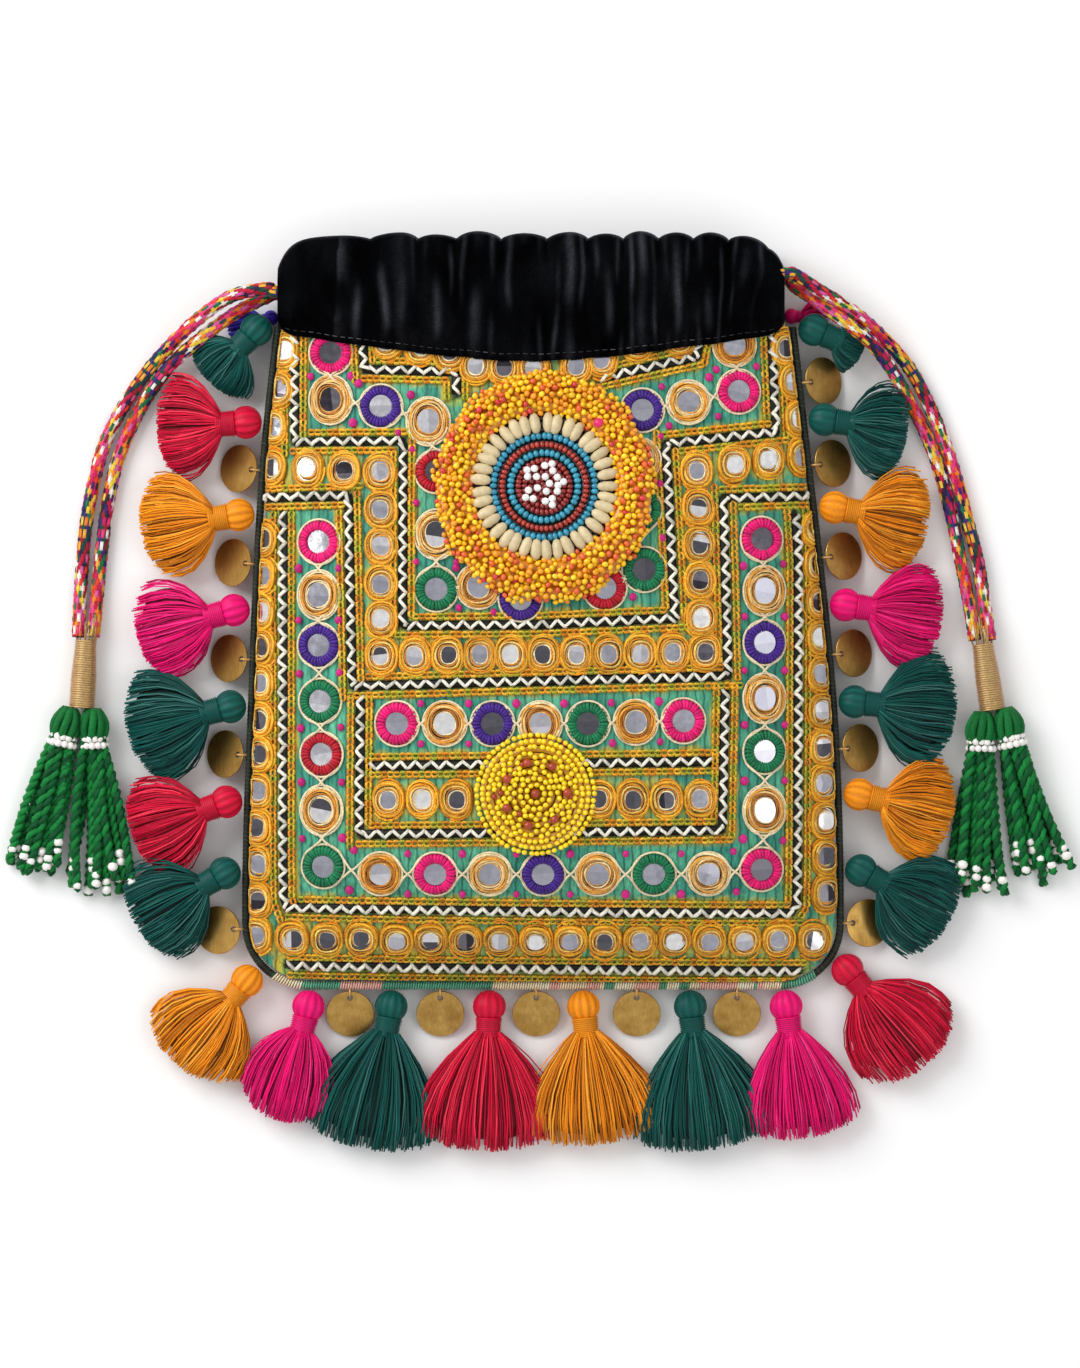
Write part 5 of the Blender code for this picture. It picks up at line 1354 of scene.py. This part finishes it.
def makeVelvet():
    bundle = Bundle()
    shares = np.linspace(-1, 1, velvet["columns"])
    made = [velvetRing(s) for s in shares]
    rings, lights = np.array([m[0] for m in made]), np.array([m[1] for m in made])
    count, around = rings.shape[:2]
    # the tint carries the velvet's dark colour with its painted highlights and painted sheen patches
    bundle.add((rings.reshape(-1, 3), loftFaces(count, around), endCaps(count, around)),
               lights.reshape(-1, 1) * np.array(velvet["pileAndSheenTint"]))
    bundle.build("velvet_casing_front", velvetFinish(), "velvet", replaced=("casing_front",))
    # topstitch along the hem
    chance, stitches = random.Random("topstitch"), Bundle()
    for k in range(velvet["stitches"]):
        line = []
        for part in (0.0, 0.3, 0.6):
            x, y, z, *_ = velvetPoint(-0.97 + 1.94 * (k + part) / velvet["stitches"], 0.055)
            line.append((x, y, z + 0.0001))
        stitches.add(tubeShell(line, velvet["stitchRadius"], 4),
                     ink(*velvet["stitch"]) * chance.choice(velvet["stitchShades"]))
    stitches.build("casing_topstitch", stitchFinish, "velvet", replaced=("casing_front",))


def velvetFinish():
    finish, tree, shader = startFinish("blackVelvet", 0.9, sheen=0.22, specular=0.0)
    shader.inputs["Sheen Roughness"].default_value = 0.20
    shader.inputs["Sheen Tint"].default_value = (0.72, 0.76, 0.90, 1)
    pile = noiseNode(tree, placeNode(tree, (1, 1, 1)), 2600.0, 3.0, 0.7)
    brushed = noiseNode(tree, placeNode(tree, (1.0, 0.45, 1.0)), 110.0, 4.0, 0.65)
    shade = rampNode(tree, pile, [(0.35, (0.45,) * 3), (0.72, (1.6,) * 3)])
    tone = rampNode(tree, brushed, [(0.40, (0.55,) * 3), (0.72, (1.5,) * 3)])
    colour = blendNode(tree, "MULTIPLY", tintNode(tree), shade)
    tree.links.new(blendNode(tree, "MULTIPLY", colour, tone), shader.inputs["Base Color"])
    bumpNode(tree, shader, pile, 0.0003, 0.5)
    return finish


# the back half of the casing lies against the ground, its gathers pressed inward
def makeBackVelvet():
    form, rings = velvet, []
    half = form["thickness"] / 2
    for share in np.linspace(-1, 1, form["backColumns"]):
        x, z = casingForm["shift"] + share * casingForm["width"] / 2, casingMiddle(share, "back")
        join = pouch["topY"] + pouch["gap"]
        crest = float(foldAt(x + 0.006))
        top = join + form["topAbove"] - 0.0018 - shoulder(share) + 0.0012 * (crest - 0.85)
        rows = []
        for v in np.linspace(0, 1, form["backRows"]):
            pressed = form["backDepth"] * (1 - crest) * (0.4 + 0.6 * v) + 0.0004
            soft = noise.noise((x * 75, v * 1.6, 13)) * 0.0004
            rows.append((x, join + (top - 0.0030 - join) * v, z - half + pressed + soft))
        rows += [(x, top - 0.0012, z - half * 0.6), (x, top, z), (x, top - 0.0012, z + half * 0.6),
                 (x, top - 0.0040, z + half), (x, (join + top) / 2, z + half), (x, join, z + half)]
        rings.append(rows)
    rings = np.array(rings)
    count, around = rings.shape[:2]
    bundle = Bundle()
    bundle.add((rings.reshape(-1, 3), loftFaces(count, around)[:, ::-1],
                [c[::-1] for c in endCaps(count, around)]),
               np.full(3, form["dark"]))
    bundle.build("velvet_casing_back", bpy.data.materials["blackVelvet"], "velvet",
                 replaced=("casing_back",))


makeVelvet()
makeBackVelvet()
print("velvet gathered")


# the corded edge: whipped with cream and rose thread over a green strip, a wire ring for each disc
edge = {
    "core": (40, 84, 60), "sideCore": (18, 22, 20), "sideThread": (58, 70, 34),
    "sideShades": (0.35, 0.7, 1.1),
    "inks": [(254, 232, 196), (96, 172, 140), (250, 190, 176), (104, 184, 150), (255, 240, 214),
             (96, 160, 120)],
    "threadRadius": 0.00046, "changes": 0.24,
    "discPlaces": [0.0780, 0.1288, 0.1806, 0.2323, 0.3262, 0.3950, 0.4441, 0.4963, 0.5510, 0.6055,
                   0.6765, 0.7710, 0.8222, 0.8747, 0.9248, 0.9694],
    "ringRadius": 0.0018, "ringWire": 0.0004, "ringOut": 0.0012, "wire": (206, 160, 100),
}


# a place from 0 to 1 down the left side, along the foot and up the right side, and its way outwards
def edgePoint(place):
    side, bend = pouch["length"] - pouch["corner"], pouch["corner"] * math.pi / 2
    foot = pouch["width"] - 2 * pouch["corner"]
    total = 2 * side + 2 * bend + foot
    run, mirror = place * total, 1
    if run > side + bend + foot / 2:
        run, mirror = total - run, -1
    if run <= side:
        y = pouch["topY"] - run
        x = float(halfWidth(y))
        lean = (float(halfWidth(y - 0.0002)) - float(halfWidth(y + 0.0002))) / 0.0004
        out = np.array([-1, lean, 0]) / math.hypot(1, lean)
    elif run <= side + bend:
        turn = (run - side) / pouch["corner"]
        y = bottomY + pouch["corner"] * (1 - math.sin(turn))
        x = pouch["width"] / 2 - pouch["corner"] * (1 - math.cos(turn))
        out = np.array([-math.cos(turn), -math.sin(turn), 0])
    else:
        y, x, out = bottomY, foot / 2 - (run - side - bend), np.array([0, -1.0, 0])
    out = np.array([mirror * out[0], out[1], 0])
    reach = pouch["piping"] / 2 + pouch["gap"]
    at = np.array([-mirror * x + float(middleX(y)), y, float(seamHeight(y)) - 0.3 * pouch["piping"]])
    return at + out * reach, out


def makeEdge():
    chance = random.Random("edge")
    bundle = Bundle()
    # closer steps along the foot, where the whipping is seen
    parts = ((0, 0.33, 150), (0.331, 0.669, 250), (0.67, 1, 150))
    places = np.concatenate([np.linspace(*part) for part in parts])
    spots = [edgePoint(p) for p in places]
    path = np.array([s[0] for s in spots])
    footEnd = bottomY + 0.002
    core = [edge["sideCore"] if p[1] > footEnd else edge["core"] for p in path]
    bundle.add(tubeShell(path, pouch["piping"] / 2 * 0.86, 7), np.repeat([ink(*c) for c in core], 7, 0))
    inks = [ink(*c) for c in edge["inks"]]
    tone = inks[0]
    for k in range(len(spots) - 1):
        if chance.random() < edge["changes"]:
            tone = inks[chance.randrange(len(inks))]
        at, out = spots[k]
        following = spots[k + 1][0] - at
        atSide = at[1] > footEnd
        line = []
        for j in range(6):
            angle = math.radians(-40 + 46 * j)
            radius = pouch["piping"] / 2 * (0.72 if atSide else 0.94)
            off = out * math.cos(angle) + np.array([0, 0, math.sin(angle)])
            line.append(at + following * (0.1 + 0.20 * j) + radius * off)
        if atSide:
            shade = ink(*edge["sideThread"]) * chance.choice(edge["sideShades"])
        else:
            shade = vary(chance, tone, 0.10)
        bundle.add(tubeShell(line, edge["threadRadius"], 3, up=np.array(line) - at), shade)
    bundle.build("whipped_edge", stitchFinish, "gold_thread", replaced=("edge_piping",))
    rings, angles = Bundle(), circleAngles(18)[:, None]
    for place in edge["discPlaces"]:
        at, out = edgePoint(place)
        centre = at + out * (pouch["piping"] / 2 + edge["ringOut"])
        line = centre + edge["ringRadius"] * (np.cos(angles) * out + np.sin(angles) * np.array([0, 0, 1.0]))
        rings.add(tubeShell(line, edge["ringWire"], 6, True, np.cross(out, (0, 0, 1.0))),
                  ink(*edge["wire"]))
    rings.build("disc_wire_rings", goldFinish, "gold_thread", replaced=("edge_piping",))


makeEdge()
print("edge whipped")


# thread tassels: ball, bound neck, and a brush of threads that fans out on the ground
tassels = {
    # name: (place on the edge, direction in degrees, length and half width in mm, colour)
    "edge": {
        "left_02": (0.0030, 226, 32, 14.0, "teal"), "left_03": (0.0530, 184, 39, 19.0, "crimson"),
        "left_04": (0.1030, 189, 42.5, 19.0, "orange"), "left_05": (0.1545, 195, 43, 18.5, "hot_pink"),
        "left_06": (0.2066, 195, 45, 20.5, "teal"), "left_07": (0.2580, 200, 43, 19.0, "crimson"),
        "left_08": (0.2965, 210, 44, 19.5, "teal"), "left_09": (0.3470, 230, 46, 20.0, "orange"),
        "left_10": (0.3725, 255, 49, 17.0, "hot_pink"), "bottom_11": (0.4175, 259, 58.5, 25.5, "teal"),
        "bottom_12": (0.4707, 268, 58.5, 26.5, "crimson"), "bottom_13": (0.5220, 276, 56.5, 25.5, "orange"),
        "bottom_14": (0.5800, 277, 58.5, 26.5, "teal"), "bottom_15": (0.6310, 278, 54.5, 21.5, "hot_pink"),
        "right_16": (0.6580, 310, 51, 21.0, "crimson"), "right_17": (0.7050, 330, 43.5, 19.5, "teal"),
        "right_18": (0.7460, 346, 41.5, 19.0, "orange"), "right_19": (0.7960, 353, 43.5, 21.0, "teal"),
        "right_20": (0.8484, 351, 42, 19.0, "hot_pink"), "right_21": (0.9010, 349, 41, 19.5, "orange"),
        "right_22": (0.9485, 351, 37, 18.0, "teal"), "right_23": (0.9970, 336, 26, 9.0, "teal"),
    },
    "shoulder": {"left_01": (-1, 196, 20, 7.5, "violet"), "right_24": (1, 357, 17, 7.0, "hot_pink")},
    "inks": {"crimson": (214, 4, 56), "orange": (252, 150, 18), "hot_pink": (242, 0, 116),
             "teal": (0, 84, 78), "violet": (62, 36, 184)},
    "headRadius": 0.0058, "neckRadius": 0.0049, "threads": 330, "thickness": 0.0112,
    "small": {"headRadius": 0.0027, "threads": 120, "thickness": 0.0050},
    "clumps": 30, "threadRadius": 0.00028, "threadSwell": [1.2, 1.1, 1.05, 1.1, 1.2, 1.15],
    "headSteps": 12, "headSides": 44, "grooves": 11, "neckSides": 28, "windings": 10,
    # how fast the brush widens, and how round its foot is
    "footShapes": {"side": (2.6, 0.30), "bottom": (1.8, 0.17)},
    "shades": [0.55, 0.80, 0.95, 1.05, 1.2, 1.4],
}


def makeTassel(name, start, degrees, length, full, colour, head, threads, thickness, finish):
    form, chance = tassels, random.Random(f"tassel {name}")
    tone = ink(*form["inks"][colour])
    turn = math.radians(degrees)
    way = np.array([math.cos(turn), math.sin(turn), 0.0])
    sideways, upright = np.array([-way[1], way[0], 0.0]), np.array([0, 0, 1.0])
    bundle = Bundle()
    neck = form["neckRadius"] / form["headRadius"] * head
    axes = np.array([sideways, np.cross(way, sideways), way])
    # ball of threads drawn over the top, with grooves between them; the grooves are painted darker and the
    # ridges lighter, painted shade and highlight
    profile = []
    for k in range(form["headSteps"] + 1):
        angle = math.pi * (0.04 + 0.80 * k / form["headSteps"])
        profile.append((head * math.sin(angle), head * (1.02 - math.cos(angle))))
    seedTurn = chance.uniform(0, 6)

    def grooves(angles, k):
        return (0.045 * np.cos(form["grooves"] * angles + seedTurn + 0.15 * k)
                + 0.02 * np.cos(17 * angles + k * 0.2))

    shades = 0.88 + 0.20 * np.cos(form["grooves"] * circleAngles(form["headSides"]) + seedTurn)
    bundle.add(placed(lathe(profile, form["headSides"], grooves), start, axes),
               tone * np.tile(shades, len(profile))[:, None])
    # neck wound with thread, painted darker between the windings and lighter on them: painted shade and
    # painted highlight
    begin, windings = 1.72 * head, form["windings"]
    profile = [(neck * 0.6, begin - 0.0004)]
    shades = [0.6]
    for k in range(windings):
        share = k / windings
        swell = 1 - 0.05 * math.sin(math.pi * share)
        profile += [(neck * 0.90 * swell, begin + head * 1.2 * share),
                    (neck * 1.03 * swell, begin + head * 1.2 * (share + 0.5 / windings))]
        shades += [0.55, 1.12 + chance.uniform(-0.08, 0.08)]
    profile.append((neck * 0.8, begin + head * 1.22))
    shades.append(0.6)
    bundle.add(placed(lathe(profile, form["neckSides"]), start, axes),
               tone * np.repeat(shades, form["neckSides"])[:, None])
    # the brush: how wide and how high it is along its run
    foot = begin + head * 1.05
    reach = length - foot
    swell, roundFoot = form["footShapes"]["bottom" if name.startswith("bottom") else "side"]

    def wide(t):
        return neck * 0.95 + (full - neck) * (1 - (1 - t) ** swell) * (1 - 0.04 * t**4)

    def high(t):
        return neck * 0.9 * (1 - t) ** 1.5 + thickness / 2 * (1 - (1 - t) ** 2) * (1 - 0.30 * t * t)

    def middle(t):
        return start[2] + (thickness / 2 * 0.94 - start[2]) * np.minimum(1, 1.3 * t)

    # a dark core fills the brush: painted shade that shows in the gaps between the threads
    rows, around = 9, 18
    angles, core = circleAngles(around), []
    for k in range(rows):
        t = k / (rows - 1)
        out = np.cos(angles) * wide(t) * 0.80
        on = foot - 0.0008 + reach * 0.91 * t * (1 - roundFoot * np.abs(np.cos(angles)) ** 2.6)
        core.append(start * [1, 1, 0] + np.outer(on, way) + np.outer(out, sideways)
                    + np.outer(middle(t) + np.sin(angles) * high(t) * 0.62, upright))
    footCap = endCaps(rows, around)[around - 2:]
    bundle.add((np.vstack(core), loftFaces(rows, around), footCap), tone * 0.25)
    clumps = [chance.uniform(-1, 1) for _ in range(form["clumps"])]
    t = np.array([0, 0.12, 0.32, 0.56, 0.79, 1])
    for k in range(threads):
        share = chance.choice(clumps) + chance.gauss(0, 0.035) if k % 3 else chance.uniform(-1.04, 1.04)
        share = min(1.0, max(-1.0, share))
        # most threads lie on top, some below, some inside
        kind = chance.random()
        level = chance.uniform(*((0.55, 1) if kind < 0.68 else (-1, -0.6) if kind < 0.84 else (-0.5, 0.5)))
        run = reach * (1 - roundFoot * abs(share) ** 2.6) * (1 + chance.uniform(-0.040, 0.022))
        if chance.random() < 0.06:
            run *= chance.uniform(0.72, 0.95)
        drift = chance.gauss(0, 0.045)
        waver = chance.uniform(-1, 1) * 0.0007 * np.sin(t * chance.uniform(3, 8) + chance.uniform(0, 6)) * t
        x = (share + drift * t) * wide(t) + waver
        tall = level * math.sqrt(max(0.0, 1 - share * share)) ** 0.7 * high(t)
        line = start * [1, 1, 0] + np.outer(foot - 0.0010 + run * t, way) + np.outer(x, sideways)
        line[:, 2] = np.maximum(middle(t) + tall + 0.0004 * np.sin(5 * t + 9 * share), 0.0006)
        # each thread's tone differs at random; threads below the top are painted darker as painted shade,
        # and the brightest get a whitish painted highlight
        toneWithPaintedDepthShade = chance.choice(form["shades"]) * (0.75 + 0.25 * max(0.0, level))
        tint = tone * toneWithPaintedDepthShade + (0.035 if toneWithPaintedDepthShade > 1.25 else 0.0)
        bundle.add(tubeShell(line, form["threadRadius"] * np.array(form["threadSwell"]), 3), tint)
    node = f"tassel_{name}"
    return bundle.build(f"{node}_threads", finish, colour, replaced=(node,))


def makeTassels():
    finish = threadFinish("tasselThread", 0.50, 0.04, 1600.0, 0.0001, 0.82, 1.10, specular=0.22)
    head, small = tassels["headRadius"], tassels["small"]
    for name, (place, degrees, length, full, colour) in tassels["edge"].items():
        at, out = edgePoint(place)
        ball = at + out * (pouch["piping"] / 2 + pouch["gap"] + head)
        turn = math.radians(degrees)
        start = ball - np.array([math.cos(turn), math.sin(turn), 0]) * 1.02 * head
        start[2] = max(start[2], head + 0.0002)
        makeTassel(name, start, degrees, length / 1000, full / 1000, colour, head, tassels["threads"],
                   tassels["thickness"], finish)
    for name, (side, degrees, length, full, colour) in tassels["shoulder"].items():
        x = casingForm["shift"] + side * (casingForm["width"] / 2 + 0.0003)
        start = np.array([x, pouch["topY"] + 0.0046, 0.0029])
        makeTassel(name, start, degrees, length / 1000, full / 1000, colour, small["headRadius"],
                   small["threads"], small["thickness"], finish)


makeTassels()
print("tassels brushed out")


# brass discs, each with a hole for its ring; they lean down till the far rim rests on the ground
discs = {"radius": 0.00865, "thickness": 0.0006, "holeRadius": 0.0011, "holeInset": 0.0024, "steps": 48,
         "bevel": 0.985, "groundGap": 0.0006}


def makeDisc(name, centre, out, drop, finish):
    form = discs
    down = out * math.cos(drop) - np.array([0, 0, math.sin(drop)])
    along = np.array([-out[1], out[0], 0.0])
    face = np.cross(down, along)
    middle = centre + down * (edge["ringRadius"] + form["radius"] - form["holeInset"])
    angles = circleAngles(form["steps"])
    rim = np.stack([np.cos(angles), np.sin(angles)], -1)
    hole = np.array([-(form["radius"] - form["holeInset"]), 0.0])
    half, loops = form["thickness"] / 2, []
    holeEdge, full = hole + rim * form["holeRadius"], rim * form["radius"]
    bevelled = full * form["bevel"]
    # hole edge, face, bevel, rim and the same on the other side
    for flatPoints, height in ((holeEdge, half), (bevelled, half), (full, half * 0.4),
                               (full, -half * 0.4), (bevelled, -half), (holeEdge, -half)):
        loops.append(np.hstack([flatPoints, np.full((form["steps"], 1), height)]))
    points = np.vstack(loops) @ np.array([down, along, face]) + middle
    bundle = Bundle()
    bundle.add((points, loftFaces(len(loops), form["steps"], True)[:, ::-1], []), np.ones(3))
    return bundle.build(f"{name}_face", finish, "brass", name.replace("brass_", ""), (name,), smooth=False)


def brassFinish():
    finish, tree, shader = startFinish("satinBrass", 0.36, 1.0)
    stain = noiseNode(tree, placeNode(tree, (1, 1, 1)), 160.0, 4.0, 0.6)
    grain = noiseNode(tree, placeNode(tree, (1.0, 0.12, 1.0)), 1500.0, 2.0)
    colour = rampNode(tree, stain, [(0.30, tuple(ink(172, 130, 66))), (0.68, tuple(ink(206, 166, 92)))])
    shade = rampNode(tree, grain, [(0.30, (0.86,) * 3), (0.70, (1.08,) * 3)])
    tree.links.new(blendNode(tree, "MULTIPLY", colour, shade), shader.inputs["Base Color"])
    tree.links.new(rampNode(tree, stain, [(0.3, (0.44,) * 3), (0.7, (0.30,) * 3)]),
                   shader.inputs["Roughness"])
    bumpNode(tree, shader, grain, 0.00002, 0.4)
    return finish


def makeDiscs():
    finish = brassFinish()
    reach = edge["ringRadius"] - discs["holeInset"] + 2 * discs["radius"]
    for k, place in enumerate(edge["discPlaces"]):
        at, out = edgePoint(place)
        centre = at + out * (pouch["piping"] / 2 + edge["ringOut"])
        drop = math.asin(min(1.0, (centre[2] - discs["groundGap"] - discs["thickness"] / 2) / reach))
        makeDisc(f"brass_disc_{k + 1:02d}", centre, out, drop, finish)


makeDiscs()
print("discs hung")


# plain woven cloth of the back
def clothFinish():
    finish, tree, shader = startFinish("blackCloth", 0.85, sheen=0.15, specular=0.2)
    weave = []
    for rotation in (0.0, math.pi / 2):
        wave = tree.nodes.new("ShaderNodeTexWave")
        wave.inputs["Scale"].default_value = 420.0
        wave.inputs["Distortion"].default_value = 0.6
        tree.links.new(placeNode(tree, (1, 1, 1), (0, 0, rotation)), wave.inputs["Vector"])
        weave.append(wave.outputs["Color"])
    cross = blendNode(tree, "MULTIPLY", weave[0], weave[1])
    lint = noiseNode(tree, placeNode(tree, (1, 1, 1)), 240.0, 4.0, 0.65)
    shade = rampNode(tree, lint, [(0.35, (0.010, 0.010, 0.012)), (0.72, (0.030, 0.030, 0.034))])
    soft = rampNode(tree, cross, [(0.0, (0.75,) * 3), (0.8, (1.3,) * 3)])
    tree.links.new(blendNode(tree, "MULTIPLY", shade, soft), shader.inputs["Base Color"])
    bumpNode(tree, shader, cross, 0.0002, 0.5)
    return finish


def refinish(node, finish):
    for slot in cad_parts[node].material_slots:
        slot.material = finish


refinish("back_panel", clothFinish())
print("back finished")

# floor and light
studio = {
    "floor": (0.92, 0.92, 0.92), "halfSize": 3.0, "floorZ": -0.0002, "world": 0.72,
    # name, place, size and power
    "lamps": [("keyLamp", (-1.10, 0.90, 1.02), 1.2, 24.0), ("fillLamp", (0.9, -0.3, 1.2), 1.0, 3.0)],
}


def makeStudio():
    size, z = studio["halfSize"], studio["floorZ"]
    mesh = bpy.data.meshes.new("floor")
    mesh.from_pydata([(-size, -size, z), (size, -size, z), (size, size, z), (-size, size, z)], [],
                     [(0, 1, 2, 3)])
    floor = bpy.data.objects.new("floor", mesh)
    bpy.context.scene.collection.objects.link(floor)
    finish, tree, shader = startFinish("paleFloor", 0.9, specular=0.1)
    grain = noiseNode(tree, placeNode(tree, (1, 1, 1)), 300.0, 2.0)
    pale = studio["floor"]
    tone = rampNode(tree, grain, [(0.3, tuple(c * 0.995 for c in pale)), (0.7, pale)])
    tree.links.new(tone, shader.inputs["Base Color"])
    mesh.materials.append(finish)
    world = bpy.data.worlds.new("studio")
    bpy.context.scene.world = world
    world.use_nodes = True
    background = world.node_tree.nodes["Background"]
    background.inputs["Color"].default_value = (1, 1, 1, 1)
    background.inputs["Strength"].default_value = studio["world"]
    for name, place, wide, power in studio["lamps"]:
        lamp = bpy.data.lights.new(name, "AREA")
        lamp.size = wide
        lamp.energy = power
        made = bpy.data.objects.new(name, lamp)
        bpy.context.scene.collection.objects.link(made)
        made.location = place
        made.rotation_euler = (-Vector(place)).to_track_quat("-Z", "Y").to_euler()


makeStudio()
bpy.context.scene.view_settings.view_transform = "Standard"
print("floor and light set")
